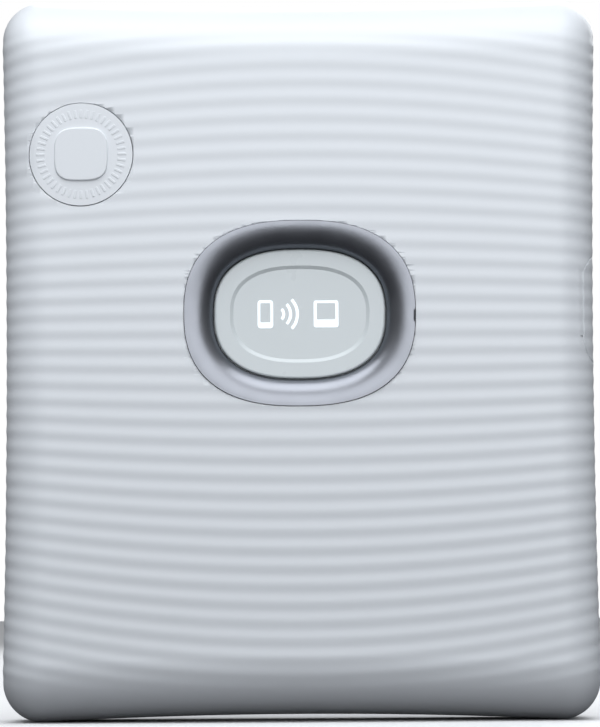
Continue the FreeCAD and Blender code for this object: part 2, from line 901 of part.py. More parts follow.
def ring_and_power_button():
    """The metal ring, the pearl cap in it, its light guide and its plunger."""
    collar = oval("ring_collar", "ring_width", "ring_height", "0", (FRONT, SEAT), RING_Z)
    flange = oval(
        "ring_flange_plate",
        "ring_width + 2 * ring_flange",
        "ring_height + 2 * ring_flange",
        "0",
        past(SEAT, "ring_flange_thickness"),
        RING_Z,
    )
    well = oval(
        "ring_well_wall",
        "ring_opening_width + 2 * button_flange + 1",
        "ring_opening_height + 2 * button_flange + 1",
        "0",
        (SEAT, WELL_END),
        RING_Z,
    )
    # The ring's face rolls over from the lip, facing front, to the opening,
    # where it drops straight in: a quarter of an ellipse.
    inner_width = "(ring_width - 2 * ring_lip)"
    inner_height = "(ring_height - 2 * ring_lip)"
    sections = []
    for index in range(RING_SECTIONS):
        turn = math.radians(90 * index / (RING_SECTIONS - 1))
        inwards = f"{math.sin(turn):.6f}"
        drop = f"{1 - math.cos(turn):.6f}"
        sections.append(
            superellipse(
                f"ring_section_{index}",
                f"{inner_width} - ({inner_width} - ring_opening_width) * {inwards}",
                f"{inner_height} - ({inner_height} - ring_opening_height) * {inwards}",
                "0",
                f"{FRONT} + ring_drop * {drop}",
                RING_Z,
            )
        )
    bowl = doc.addObject("Part::Loft", "ring_bowl")
    bowl.Sections = sections
    bowl.Solid = True
    through = oval(
        "ring_through",
        "ring_opening_width",
        "ring_opening_height",
        "0",
        (f"{FRONT} + ring_drop - 0.001", f"{WELL_END} + wall"),
        RING_Z,
    )
    blank = fuse("ring_blank", collar, flange, well)
    node("bezel_ring", cut("ring_cut", cut("ring_dished", blank, bowl), through))

    cap = oval(
        "cap_body",
        "ring_opening_width - 2 * button_gap",
        "ring_opening_height - 2 * button_gap",
        "0",
        (BUTTON_FACE, f"{WELL_END} + running_gap * 2"),
        RING_Z,
    )

    def is_front_rim(edge):
        box = edge.BoundBox
        return box.YLength < 0.01 and box.YMin < number(BUTTON_FACE) + 0.01

    cap = rounded("cap_rounded", cap, "button_edge", is_front_rim)
    cap_flange = oval(
        "cap_flange",
        "ring_opening_width + 2 * button_flange",
        "ring_opening_height + 2 * button_flange",
        "0",
        (f"{WELL_END} + running_gap * 2", BUTTON_BACK),
        RING_Z,
    )
    dish = doc.addObject("Part::Loft", "cap_dish")
    dish.Sections = [
        superellipse(
            "dish_rim", "dish_width + dish_slope * 2", "dish_height + dish_slope * 2", "0",
            f"{BUTTON_FACE} - dish_depth", RING_Z,
        ),
        superellipse(
            "dish_floor", "dish_width - dish_slope * 2", "dish_height - dish_slope * 2", "0",
            f"{BUTTON_FACE} + dish_depth", RING_Z,
        ),
    ]
    dish.Solid = True
    guide_back = BUTTON_BACK
    guide_front = f"({BUTTON_BACK} - guide_thickness)"
    guide_width = "ring_opening_width - 2 * guide_border"
    guide_height = "ring_opening_height - 2 * guide_border"
    guide_room = oval(
        "guide_room",
        f"{guide_width} + 2 * running_gap",
        f"{guide_height} + 2 * running_gap",
        "0",
        (guide_front, f"{BUTTON_BACK} + wall"),
        RING_Z,
    )
    blank = fuse("cap_blank", cap, cap_flange)
    node("power_button", cut("cap_cut", blank, dish, guide_room))
    node(
        "light_guide",
        oval("guide_body", guide_width, guide_height, "0", (guide_front, guide_back), RING_Z),
    )
    node(
        "power_plunger",
        rod("plunger_body", "Y", "0", past(guide_back, "plunger_length"), RING_Z, "plunger_radius"),
    )
    switch = block(
        "power_switch_body",
        both("switch_side / 2"),
        (f"{BOARD_FRONT} - switch_height", BOARD_FRONT),
        around(RING_Z, "switch_side"),
    )
    socket = rod(
        "power_switch_bore", "Y", "0", (f"{BOARD_FRONT} - switch_height * 2",
            f"{BOARD_FRONT} - switch_floor"),
        RING_Z, "plunger_radius + running_gap",
    )
    node("power_switch", cut("power_switch_cut", switch, socket))


def function_button(outer):
    """The round disc at the upper left, with its pad, switch and board."""
    disc = common(
        "disc_flush",
        rod("disc_body", "Y", FUNCTION_X, (f"{FRONT} - wall", f"{FUNCTION_SEAT} + running_gap * 2"),
            FUNCTION_Z, "function_radius"),
        outer,
    )
    flange = rod(
        "disc_flange", "Y", FUNCTION_X,
        past(f"{FUNCTION_SEAT} + running_gap * 2", "function_flange_thickness"),
        FUNCTION_Z, "function_radius + function_flange",
    )
    dome = doc.addObject("Part::Sphere", "pad_dome")
    bind(dome, "Radius", "dome_radius + pad_rise")
    place(dome, "0", f"{FRONT} + dome_radius", MIDDLE)
    pad = common(
        "pad_domed",
        oval("pad_prism", "pad_side", "pad_side", FUNCTION_X, (f"{FRONT} - wall", FUNCTION_SEAT),
             FUNCTION_Z, "pad_squareness"),
        dome,
    )

    def is_pad_rim(edge):
        box = edge.BoundBox
        return box.XLength > number("pad_side") / 2 and box.YMax < number(FUNCTION_SEAT) - 0.5

    pad = rounded("pad_rounded", pad, "pad_edge", is_pad_rim)
    node("function_button", fuse("disc_and_pad", disc, flange, pad))
    node(
        "function_plunger",
        rod("function_plunger_body", "Y", FUNCTION_X, past(FUNCTION_BACK, "function_plunger_length"),
            FUNCTION_Z, "function_plunger_radius"),
    )
    switch = block(
        "function_switch_body",
        around(FUNCTION_X, "function_switch_side"),
        (f"{FUNCTION_BOARD} - function_switch_height", FUNCTION_BOARD),
        around(FUNCTION_Z, "function_switch_side"),
    )
    socket = rod(
        "function_switch_bore", "Y", FUNCTION_X,
        (f"{FUNCTION_BOARD} - function_switch_height * 2", f"{FUNCTION_BOARD} - function_switch_floor"),
        FUNCTION_Z, "function_plunger_radius + running_gap",
    )
    node("function_switch", cut("function_switch_cut", switch, socket))
    board_z = (f"{FUNCTION_Z} - function_board_below", f"{FUNCTION_Z} + function_board_above")
    clear = "screw_radius + screw_clearance"
    board = sheet_part(
        "function_board_body",
        "Y",
        oblong(*around(FUNCTION_X, "function_board_width"), *board_z),
        [(x, z, clear) for x, z in function_post_places()],
        FUNCTION_BOARD,
        "board_thickness",
    )
    node("function_board", board)


def electronics():
    """The main board, what is soldered to it, and the cell below it."""
    port_z = f"({RING_Z} - port_below_ring)"
    tab_x = f"(board_left_margin - {SIDE})"
    tab_low, tab_high = around(port_z, "port_tab_height")
    low = f"({RING_Z} - board_below)"
    high = f"({RING_Z} + board_above)"
    clear = "screw_radius + screw_clearance"
    board = sheet_part(
        "main_board_body",
        "Y",
        (
            ("-board_left", low),
            ("board_right", low),
            ("board_right", high),
            ("-board_left", high),
            ("-board_left", tab_high),
            (tab_x, tab_high),
            (tab_x, tab_low),
            ("-board_left", tab_low),
        ),
        [(x, z, clear) for x, z in board_post_places()],
        BOARD_FRONT,
        "board_thickness",
    )
    node("main_board", board)
    screws("board_screws", list(board_post_places()), BOARD_BACK, "board_thickness + short_screw_length / 2")
    screws("function_screws", list(function_post_places()), f"{FUNCTION_BOARD} + board_thickness",
           "board_thickness + short_screw_length / 2")

    can_x = past("-board_left / 4", "can_width")
    can_z = past(f"{low} + board_corner_inset * 2", "can_height")
    node("shield_can", block("shield_can_body", can_x, past(BOARD_BACK, "can_thickness"), can_z))
    chips = []
    chip_spots = (
        (f"{can_x[1]} + chip_side * 0.7", f"{can_z[0]} + chip_side"),
        ("-board_left + chip_side * 0.9", f"{can_z[1]} + chip_side"),
        ("can_width / 4", f"{can_z[1]} + chip_side"),
        (f"{can_x[1]}", f"{can_z[1]} + chip_side * 1.4"),
    )
    for index, (x, z) in enumerate(chip_spots):
        chips.append(
            block(f"chip_{index}", around(x, "chip_side"), past(BOARD_BACK, "chip_thickness"),
                  around(z, "chip_side"))
        )
    for index, x in enumerate(("-chip_side * 1.2", "chip_side * 1.2")):
        lamp_y = (f"{BOARD_FRONT} - chip_thickness * 0.6", BOARD_FRONT)
        chips.append(
            block(f"lamp_{index}", around(x, "chip_side / 3"), lamp_y, around(RING_Z, "chip_side / 3"))
        )
    node("board_chips", group("board_chips_group", *chips))
    node(
        "antenna",
        block(
            "antenna_body",
            (
                "board_right - antenna_width - board_corner_inset * 3",
                "board_right - board_corner_inset * 3",
            ),
            (f"{BOARD_FRONT} - antenna_thickness", BOARD_FRONT),
            (f"{high} - antenna_height - 1", f"{high} - 1"),
        ),
    )
    mouth = f"(-{SIDE} + side_waist + port_recess)"
    shell = port_prism("port_shell_body", past(mouth, "port_length"), "0")
    hollow = port_prism("port_shell_room", (f"{mouth} - wall", f"{mouth} + port_length - 1"), "-port_shell")
    tongue = block(
        "port_tongue_body",
        (f"{mouth} + 1", f"{mouth} + port_length - port_back"),
        around(f"{BOARD_BACK} + port_thickness / 2", "port_tongue"),
        around(port_z, "port_width - port_thickness"),
    )
    node("charging_port", fuse("port_assembled", cut("port_hollowed", shell, hollow), tongue))
    node(
        "battery",
        block(
            "battery_body",
            both("battery_width / 2"),
            (f"{CHASSIS_FRONT} - battery_thickness", CHASSIS_FRONT),
            (f"{low} - battery_gap - battery_height", f"{low} - battery_gap"),
        ),
    )
    node(
        "battery_connector",
        block(
            "battery_connector_body",
            past("-board_left + board_corner_inset * 3", "plug_width"),
            past(BOARD_BACK, "plug_thickness"),
            past(f"{low} + plug_inset", "plug_height"),
        ),
    )


def chassis():
    """The film bay: an open box with four ears, and its screws."""
    outer = block(
        "chassis_block", both(CHASSIS_SIDE), (CHASSIS_FRONT, "bay_rear"), (CHASSIS_BOTTOM, CHASSIS_TOP)
    )
    ears = []
    for index, (_, z) in enumerate(ear_places()):
        inner = CHASSIS_SIDE if index < 2 else f"(-{CHASSIS_SIDE} - ear_length)"
        ears.append(
            block(f"ear_{index}", past(inner, "ear_length"), (CHASSIS_FRONT, "bay_front"),
                  around(z, "ear_height"))
        )
    room = block(
        "chassis_room", both(BAY_SIDE), ("bay_front", "bay_rear + wall"), (BAY_BOTTOM, BAY_TOP)
    )
    sheet_way = block(
        "sheet_way", both("sheet_width / 2"), past("bay_front", "sheet_gap"),
        (f"{BAY_TOP} - bay_wall", f"{CHASSIS_TOP} + bay_wall"),
    )
    hook_way = block(
        "hook_way",
        (f"{BAY_SIDE} - bay_wall", f"{CHASSIS_SIDE} + bay_wall"),
        past("bay_front", "claw_hook_depth + claw_slot_depth_gap"),
        (f"{BAY_BOTTOM} + claw_bottom - claw_slot_gap",
         f"{BAY_BOTTOM} + claw_bottom + claw_hook_height + claw_travel + claw_slot_gap"),
    )
    clear = "screw_radius + screw_clearance"
    body = cut(
        "chassis_cut",
        fuse("chassis_walls", outer, *ears),
        room,
        sheet_way,
        hook_way,
        *rods_at("ear_hole", ear_places(), (f"{CHASSIS_FRONT} - 1", "bay_front + 1"), clear),
    )
    node("film_chassis", body)
    screws("chassis_screws", ear_places(), "bay_front", "bay_wall + chassis_screw_length")


def film_claw():
    """The steel strip that starts a sheet on its way, its pins and its spring."""
    strip_x = past(f"{CHASSIS_SIDE} + claw_gap", "claw_thickness")
    strip = block(
        "claw_strip", strip_x, ("claw_front", "claw_rear"),
        (f"{BAY_BOTTOM} + claw_bottom", f"{BAY_BOTTOM} + claw_top"),
    )
    hook = block(
        "claw_hook",
        (f"{strip_x[0]} - claw_hook_reach", strip_x[1]),
        past("claw_front", "claw_hook_depth"),
        past(f"{BAY_BOTTOM} + claw_bottom", "claw_hook_height"),
    )
    tab = block(
        "claw_spring_tab",
        (strip_x[0], f"{strip_x[1]} + claw_tab"),
        ("claw_front", "claw_rear"),
        (f"{BAY_BOTTOM} + claw_top - claw_thickness", f"{BAY_BOTTOM} + claw_top"),
    )
    middle = "((claw_front + claw_rear) / 2)"
    slots = []
    pins = []
    for index, rise in enumerate(("claw_pin_low", "claw_pin_high")):
        z = f"({BAY_BOTTOM} + {rise})"
        slots.append(
            block(
                f"claw_slot_{index}",
                (f"{strip_x[0]} - 1", f"{strip_x[1]} + 1"),
                around(middle, "2 * (claw_pin_radius + screw_clearance)"),
                (f"{z} - claw_travel - claw_pin_radius - claw_slot_gap",
                    f"{z} + claw_pin_radius + claw_slot_gap"),
            )
        )
        pins.append(
            fuse(
                f"claw_pin_{index}",
                rod(f"claw_pin_shank_{index}", "X", (CHASSIS_SIDE, f"{strip_x[1]} + screw_clearance"),
                    middle, z, "claw_pin_radius"),
                rod(f"claw_pin_cap_{index}", "X", past(f"{strip_x[1]} + screw_clearance", "claw_pin_cap"),
                    middle, z, "claw_pin_head"),
            )
        )
    node("film_claw", cut("claw_cut", fuse("claw_blank", strip, hook, tab), *slots))
    node("claw_pins", group("claw_pins_group", *pins))
    node(
        "claw_spring",
        coil(
            "claw_coil",
            "Z",
            f"{strip_x[1]} + claw_tab - claw_coil_radius",
            middle,
            (f"{BAY_BOTTOM} + claw_top", f"{CHASSIS_TOP} - cheek_foot"),
            "claw_coil_radius",
            CLAW_COIL_TURNS,
        ),
    )


def print_head():
    """The exposure bar between the cheeks, its lens strip and its board."""
    z = past(CHASSIS_TOP, "head_height")
    lens_z = past(f"{CHASSIS_TOP} + lens_rise", "lens_height")
    body = block("head_block", both(CHASSIS_SIDE), ("head_front", "head_rear"), z)
    groove = block(
        "lens_groove", both("lens_width / 2"), ("head_rear - lens_depth", "head_rear + 1"), lens_z
    )
    node("print_head", cut("head_cut", body, groove))
    node(
        "lens_array",
        block("lens_body", both("lens_width / 2"), ("head_rear - lens_depth", "head_rear - lens_gap"),
            lens_z),
    )
    board = sheet_part(
        "head_board_body",
        "Y",
        oblong("-head_board_left", "head_board_right", f"{z[0]} + head_board_low",
            f"{z[1]} - head_board_high"),
        [],
        "head_front - head_board_thickness",
        "head_board_thickness",
    )
    node("head_board", board)


def cheek(name, low_x, rear, holes):
    """A steel side plate that carries the rollers."""
    step_z = f"({CHASSIS_TOP} + cheek_lift)"
    foot_z = f"({CHASSIS_TOP} - cheek_foot)"
    top_z = f"({ROLLER_Z} + cheek_top)"
    foot_rear = rear if rear == "left_cheek_rear" else "bay_rear - cheek_foot_gap"
    corners = (
        ("cheek_foot_front", foot_z),
        (foot_rear, foot_z),
        (foot_rear, f"{step_z} + cheek_step"),
        (rear, f"{step_z} + cheek_step + cheek_lift"),
        (rear, top_z),
        ("cheek_front + cheek_nose", top_z),
        ("cheek_front", f"{top_z} - cheek_chamfer"),
        ("cheek_front", step_z),
        ("cheek_foot_front", step_z),
    )
    return sheet_part(name, "X", corners, holes, low_x, "cheek_thickness")


def gear(name, teeth, x, width, turn, y, z):
    """A spur gear in the YZ plane, one tooth pointing along the turn angle."""
    builder = fcgear.FCWireBuilder()
    involute.CreateExternalGear(
        builder, number("gear_module"), teeth, PRESSURE_ANGLE, True,
        ADDENDUM, DEDENDUM, ROOT_FILLET, 0.0,
    )
    outline = doc.addObject("Part::Feature", name + "_outline")
    outline.Shape = Part.Wire([curve.toShape() for curve in builder.wire])
    stand = FreeCAD.Rotation(Vector(1, 1, 1), 120)
    outline.Placement = FreeCAD.Placement(
        Vector(), FreeCAD.Rotation(Vector(1, 0, 0), turn).multiply(stand)
    )
    place(outline, x, y, z)
    item = doc.addObject("Part::Extrusion", name)
    item.Base = outline
    item.DirMode = "Custom"
    item.Dir = Vector(1, 0, 0)
    item.Solid = True
    bind(item, "LengthFwd", width)
    return item


def meshed_turn(turn, teeth, direction, other_teeth):
    """How far a gear is turned for its gap to take the other gear's tooth."""
    lead = (turn - direction) * teeth / other_teeth
    return direction + 180 - lead + 180 / other_teeth


def rollers():
    """Two film rollers, their gears, bushes, cheeks and nip springs."""
    axle_places = (
        (REDUCTION_Y, REDUCTION_Z, "axle_radius"),
        (PINION_Y, PINION_Z, "motor_shaft_radius + screw_clearance"),
    )
    roller_places = ((FRONT_ROLLER_Y, ROLLER_Z, "bush_radius"), (REAR_ROLLER_Y, ROLLER_Z, "bush_radius"))
    node(
        "left_cheek",
        cheek("left_cheek_body", f"-{CHEEK_OUT}", "left_cheek_rear", roller_places),
    )
    node(
        "right_cheek",
        cheek("right_cheek_body", CHASSIS_SIDE, "right_cheek_rear", roller_places + axle_places),
    )
    rear_turn = meshed_turn(0.0, ROLLER_TEETH, 0.0, ROLLER_TEETH)
    turns = {"front": 0.0, "rear": rear_turn}
    shaft_start = f"-({CHEEK_OUT} + bush_reach + shaft_tail)"
    shaft_end = f"({GEAR_X} + gear_width + shaft_nose)"
    bushes = []
    for side, y in (("front", FRONT_ROLLER_Y), ("rear", REAR_ROLLER_Y)):
        body = turned_part(
            f"{side}_roller_body",
            (
                (shaft_start, "0"),
                (shaft_start, "shaft_radius"),
                ("-roller_half_length", "shaft_radius"),
                ("-roller_half_length", "roller_radius"),
                ("roller_half_length", "roller_radius"),
                ("roller_half_length", "shaft_radius"),
                (shaft_end, "shaft_radius"),
                (shaft_end, "0"),
            ),
        )
        place(body, "0", y, ROLLER_Z)
        node(f"{side}_roller", body)
        blank = gear(f"{side}_gear_blank", ROLLER_TEETH, GEAR_X, "gear_width", turns[side], y, ROLLER_Z)
        bore = rod(f"{side}_gear_bore", "X", (f"{GEAR_X} - 1", f"{GEAR_X} + gear_width + 1"), y,
                   ROLLER_Z, "shaft_radius")
        node(f"{side}_roller_gear", cut(f"{side}_gear_bored", blank, bore))
        for hand, x in (("right", "1"), ("left", "-1")):
            inner = f"({x} * ({CHASSIS_SIDE} - bush_flange))"
            seat = f"({x} * {CHASSIS_SIDE})"
            outer = f"({x} * ({CHEEK_OUT} + bush_reach))"
            low_high = (inner, outer) if hand == "right" else (outer, inner)
            flange_span = (inner, seat) if hand == "right" else (seat, inner)
            name = f"{side}_{hand}_bush"
            bushes.append(
                cut(
                    name,
                    fuse(
                        name + "_blank",
                        rod(name + "_sleeve", "X", low_high, y, ROLLER_Z, "bush_radius"),
                        rod(name + "_flange", "X", flange_span, y, ROLLER_Z, "bush_flange_radius"),
                    ),
                    rod(name + "_bore", "X", low_high, y, ROLLER_Z, "shaft_radius + running_gap"),
                )
            )
    node("roller_bushes", group("roller_bushes_group", *bushes))
    leaf_y = past(f"{REAR_ROLLER_Y} + bush_radius", "spring_leaf")
    leaf_x = past(CHEEK_OUT, "bush_reach")
    leaf = fuse(
        "nip_leaf",
        block("nip_blade", leaf_x, leaf_y,
              (f"{ROLLER_Z} - nip_leaf_below", f"{ROLLER_Z} + nip_leaf_above")),
        block("nip_foot", leaf_x, past(leaf_y[0], "nip_leaf_foot"),
              past(f"{ROLLER_Z} + nip_leaf_above - spring_leaf", "spring_leaf")),
    )
    node("nip_springs", group("nip_springs_group", leaf, mirrored("nip_leaf_left", leaf)))


def drive():
    """The gearmotor, its pinion and the reduction gear between them."""
    rear_turn = meshed_turn(0.0, ROLLER_TEETH, 0.0, ROLLER_TEETH)
    small_turn = meshed_turn(rear_turn, ROLLER_TEETH, SIZES["reduction_angle"], SMALL_TEETH)
    pinion_turn = meshed_turn(small_turn, BIG_TEETH, SIZES["pinion_angle"], SMALL_TEETH)
    small_width = "gear_width + gear_plane_gap"
    blank = fuse(
        "reduction_blank",
        gear("reduction_small", SMALL_TEETH, GEAR_X, small_width, small_turn, REDUCTION_Y, REDUCTION_Z),
        gear("reduction_big", BIG_TEETH, BIG_GEAR_X, "big_gear_width", small_turn, REDUCTION_Y, REDUCTION_Z),
    )
    bore = rod(
        "reduction_bore", "X", (f"{GEAR_X} - 1", f"{BIG_GEAR_X} + big_gear_width + 1"),
        REDUCTION_Y, REDUCTION_Z, "axle_radius + running_gap",
    )
    node("reduction_gear", cut("reduction_bored", blank, bore))
    node(
        "reduction_axle",
        rod("reduction_axle_body", "X", (CHASSIS_SIDE, f"{BIG_GEAR_X} + big_gear_width + axle_tail"),
            REDUCTION_Y, REDUCTION_Z, "axle_radius"),
    )
    pinion = gear(
        "pinion_blank", SMALL_TEETH, f"{BIG_GEAR_X} + pinion_gap", "big_gear_width - 2 * pinion_gap",
            pinion_turn,
        PINION_Y, PINION_Z,
    )
    shaft_end = f"({BIG_GEAR_X} + big_gear_width + motor_shaft_nose)"
    bore = rod("pinion_bore", "X", (GEAR_X, f"{shaft_end} + 1"), PINION_Y, PINION_Z, "motor_shaft_radius")
    node("motor_pinion", cut("pinion_bored", pinion, bore))
    node(
        "motor_shaft",
        rod("motor_shaft_body", "X", (f"{CHASSIS_SIDE} - motor_shaft_depth", shaft_end),
            PINION_Y, PINION_Z, "motor_shaft_radius"),
    )
    box_x = (f"{CHASSIS_SIDE} - gearbox_length", CHASSIS_SIDE)
    motor_y = around(PINION_Y, "motor_width")
    motor_z = around(PINION_Z, "motor_height")
    node(
        "motor_gearbox",
        cut(
            "gearbox_bored",
            block("gearbox_body", box_x, motor_y, motor_z),
            rod("gearbox_bore", "X", (f"{CHASSIS_SIDE} - motor_shaft_depth - gearbox_bore_gap",
                f"{CHASSIS_SIDE} + 1"),
                PINION_Y, PINION_Z, "motor_shaft_radius + running_gap"),
        ),
    )
    can_x = (f"{box_x[0]} - motor_length", box_x[0])
    node(
        "drive_motor",
        common(
            "motor_flatted",
            rod("motor_can", "X", can_x, PINION_Y, PINION_Z, "motor_height / 2"),
            block("motor_flats", can_x, motor_y, motor_z),
        ),
    )


def exit_flap(inner):
    """The sprung light flap under the exit slot, its pin and the foam strip."""
    width = both("sheet_width / 2 - flap_side_gap")
    barrel = rod("flap_barrel_body", "X", width, "flap_y", FLAP_Z, "flap_barrel")
    plate = block(
        "flap_plate", width, ("flap_y - flap_length", "flap_y"), around(FLAP_Z, "flap_thickness")
    )
    bore = rod(
        "flap_bore", "X", both("sheet_width / 2"), "flap_y", FLAP_Z, "flap_pin_radius + running_gap"
    )
    node("exit_flap", cut("flap_cut", fuse("flap_blank", barrel, plate), bore))
    node(
        "flap_pin",
        rod("flap_pin_body", "X", both("sheet_width / 2 + flap_ear"), "flap_y", FLAP_Z,
            "flap_pin_radius"),
    )
    strip = block(
        "seal_strip",
        both("sheet_width / 2"),
        ("slot_front - seal_width", "slot_front"),
        ("case_height - wall - end_waist - seal_height", "case_height"),
    )
    node("exit_seal", common("exit_seal_body", strip, inner))


def door():
    """The film door: panel, liner, foam, hinge pin, catches and sprung plate."""
    panel = block("door_panel", ("hinge_x", "door_right"), (DOOR_INNER, REAR), (DOOR_BOTTOM, DOOR_TOP))
    nose = rod("door_nose", "Z", "hinge_x", HINGE_Y, (DOOR_BOTTOM, DOOR_TOP), "hinge_radius")
    bore = rod(
        "door_bore", "Z", "hinge_x", HINGE_Y, (f"{DOOR_BOTTOM} - 1", f"{DOOR_TOP} + 1"),
        "hinge_pin_radius + running_gap",
    )
    node("film_door", cut("door_cut", fuse("door_blank", panel, nose), bore))
    node(
        "hinge_pin",
        rod("hinge_pin_body", "Z", "hinge_x", HINGE_Y, (
            f"{DOOR_BOTTOM} - panel_gap - hinge_pin_reach",
            f"{DOOR_TOP} + panel_gap + hinge_pin_reach"), "hinge_pin_radius"),
    )

    liner_z = (f"{CHASSIS_BOTTOM} + panel_gap", f"{CHASSIS_TOP} - panel_gap")
    liner_x = ("-liner_left", "liner_right")
    liner_y = past(LINER_FRONT, "liner_thickness")
    sheet_plate = block("liner_plate", liner_x, liner_y, liner_z)
    ribs = [
        block(f"liner_rib_{index}", around(x, "liner_rib"), (liner_y[0], DOOR_INNER),
              (f"{liner_z[0]} + liner_rib", f"{liner_z[1]} - liner_rib"))
        for index, x in enumerate(("-plate_width * 0.75", "0", "plate_width * 0.75"))
    ]
    posts = list(plate_post_places())
    holes = rods_at("liner_hole", posts, (f"{LINER_FRONT} - 1", DOOR_INNER),
                    "plate_post_radius + running_gap")
    node("door_liner", cut("liner_cut", fuse("liner_blank", sheet_plate, *ribs), *holes))

    foam_y = ("bay_rear + foam_gap", LINER_FRONT)
    foam = block("foam_block", ("-liner_left", "foam_right"), foam_y, liner_z)
    foam_room = block(
        "foam_room",
        ("-liner_left + foam_width", "foam_right - foam_width"),
        (f"{foam_y[0]} - 1", f"{foam_y[1]} + 1"),
        (f"{liner_z[0]} + foam_width", f"{liner_z[1]} - foam_width"),
    )
    node("door_seal", cut("foam_cut", foam, foam_room))

    bay_middle = f"(({BAY_TOP} + {BAY_BOTTOM}) / 2)"
    plate = block(
        "pressure_plate_sheet", both("plate_width / 2"),
        (f"{PLATE_BACK} - plate_thickness", PLATE_BACK), around(bay_middle, "plate_height"),
    )
    plate_posts = rods_at("plate_post", posts, past(PLATE_BACK, "plate_post_length"), "plate_post_radius")
    node("pressure_plate", fuse("pressure_plate_body", plate, *plate_posts))
    leaves = [plate_leaf(f"plate_leaf_{index}", x, z) for index, (x, z) in enumerate(posts)]
    node("plate_springs", group("plate_springs_group", *leaves))

    catches = []
    for index, z in enumerate(arm_places()):
        span = around(z, "latch_arm_width")
        catches.append(
            fuse(
                f"catch_{index}",
                block(f"catch_tab_{index}", past(CATCH_X, "catch_thickness"),
                      ("catch_front", DOOR_INNER), span),
                block(f"catch_nose_{index}", (f"{CATCH_X} - catch_nose", f"{CATCH_X} + catch_thickness"),
                      past("catch_front", "catch_nose_height"), span),
                block(f"catch_foot_{index}",
                      (f"{CATCH_X} + catch_thickness - catch_foot", f"{CATCH_X} + catch_thickness"),
                      (f"{DOOR_INNER} - catch_thickness", DOOR_INNER), span),
            )
        )
    node("door_catches", group("door_catches_group", *catches))


def plate_leaf(name, x, z):
    """A bent leaf round a post: its foot on the plate and its two tips on the liner."""
    half = (
        ("plate_leaf_reach", LINER_FRONT),
        ("plate_leaf_reach", f"{LINER_FRONT} - plate_leaf"),
        ("plate_leaf_reach - plate_leaf_tip", f"{LINER_FRONT} - plate_leaf"),
        ("plate_leaf_foot", PLATE_BACK),
    )
    back = (
        ("plate_leaf_foot", f"{PLATE_BACK} + plate_leaf"),
        ("plate_leaf_reach - plate_leaf_tip", LINER_FRONT),
    )
    corners = [(f"{x} - ({reach})", y) for reach, y in half]
    corners += [(f"{x} + ({reach})", y) for reach, y in reversed(half)]
    corners += [(f"{x} + ({reach})", y) for reach, y in reversed(back)]
    corners += [(f"{x} - ({reach})", y) for reach, y in back]
    strip = sheet_part(name + "_strip", "Z", corners, [], f"{z} - plate_leaf_width / 2", "plate_leaf_width")
    bore = rods_at(name + "_bore", [(x, z)], (f"{PLATE_BACK} - wall", LINER_FRONT),
                   "plate_post_radius + running_gap")
    return cut(name, strip, *bore)


def plate_post_places():
    bay_middle = f"(({BAY_TOP} + {BAY_BOTTOM}) / 2)"
    for x in ("(plate_width / 2 - plate_post_inset)", "(plate_post_inset - plate_width / 2)"):
        for z in (
            f"({bay_middle} + plate_height / 2 - plate_post_inset)",
            f"({bay_middle} - plate_height / 2 + plate_post_inset)",
        ):
            yield x, z


def arm_places():
    for sign in ("-", "+"):
        yield f"({LATCH_Z} {sign} latch_arm_spread / 2)"


def door_latch(hollow):
    """The flush release at the right: skin, flange, two hooked arms, spring."""
    skin = common(
        "latch_skin", latch_prism("latch_prism", (f"{SIDE} - wall * 4", f"{SIDE} + wall"), "0"), hollow
    )
    border = "(latch_height / 2 + latch_flange_border)"
    flange_x = past(LATCH_FLANGE_X, "latch_flange_thickness")
    flange = block(
        "latch_flange", flange_x, ("latch_flange_front", "latch_rear + latch_flange_border"),
        (f"{LATCH_Z} - {border}", f"{LATCH_Z} + {border}"),
    )
    core = block(
        "latch_core",
        (LATCH_FLANGE_X, f"{SIDE_INNER} + wall / 2"),
        ("latch_flange_front", "latch_rear - latch_corner"),
        around(LATCH_Z, "latch_height - 2 * latch_corner"),
    )
    back_x = (f"{LATCH_FLANGE_X} - latch_arm_thickness", LATCH_FLANGE_X)
    arms_z = around(LATCH_Z, "latch_arm_spread + latch_arm_width")
    spine = block("latch_spine", back_x, ("latch_flange_front", "latch_arm_rear"), arms_z)
    pieces = [flange, core, spine]
    hook_top = "(catch_front + catch_nose_height + hook_gap + latch_arm_thickness)"
    for index, z in enumerate(arm_places()):
        span = around(z, "latch_arm_width")
        pieces.append(
            block(f"latch_arm_{index}", ("latch_hook_x", back_x[1]),
                  ("latch_arm_rear - latch_arm_thickness", "latch_arm_rear"), span)
        )
        pieces.append(
            block(f"latch_hook_{index}", past("latch_hook_x", "latch_hook_thickness"),
                  ("latch_arm_rear - latch_arm_thickness", hook_top), span)
        )
        pieces.append(
            block(f"latch_nose_{index}",
                  past("latch_hook_x", "latch_hook_thickness + latch_hook_nose"),
                  (f"{hook_top} - latch_arm_thickness", hook_top), span)
        )
    node("door_latch", fuse("latch_fused", skin, *pieces))
    node(
        "latch_spring",
        coil("latch_coil", "X", (CHASSIS_SIDE, back_x[0]), "latch_coil_y", LATCH_Z,
             "latch_coil_radius", LATCH_COIL_TURNS),
    )


outer_form = pillow("outer_form", "0")
inner_form = pillow("inner_form", "wall")
case_walls = case(outer_form, inner_form)
ring_and_power_button()
function_button(outer_form)
electronics()
chassis()
film_claw()
print_head()
rollers()
drive()
exit_flap(inner_form)
door()
door_latch(case_walls)
doc.recompute()

for item in doc.Objects:
    if "Invalid" in item.State or "Error" in item.State:
        raise RuntimeError(f"{item.Label} did not build: {item.State}")
for item in NODES:
    if item.Shape.isNull() or not item.Shape.isValid():
        raise RuntimeError(f"{item.Label} has no valid shape")
for item in NODES:
    item.Shape.exportStep(f"parts/{item.Label}.step")
print(f"{len(NODES)} sub-parts written")
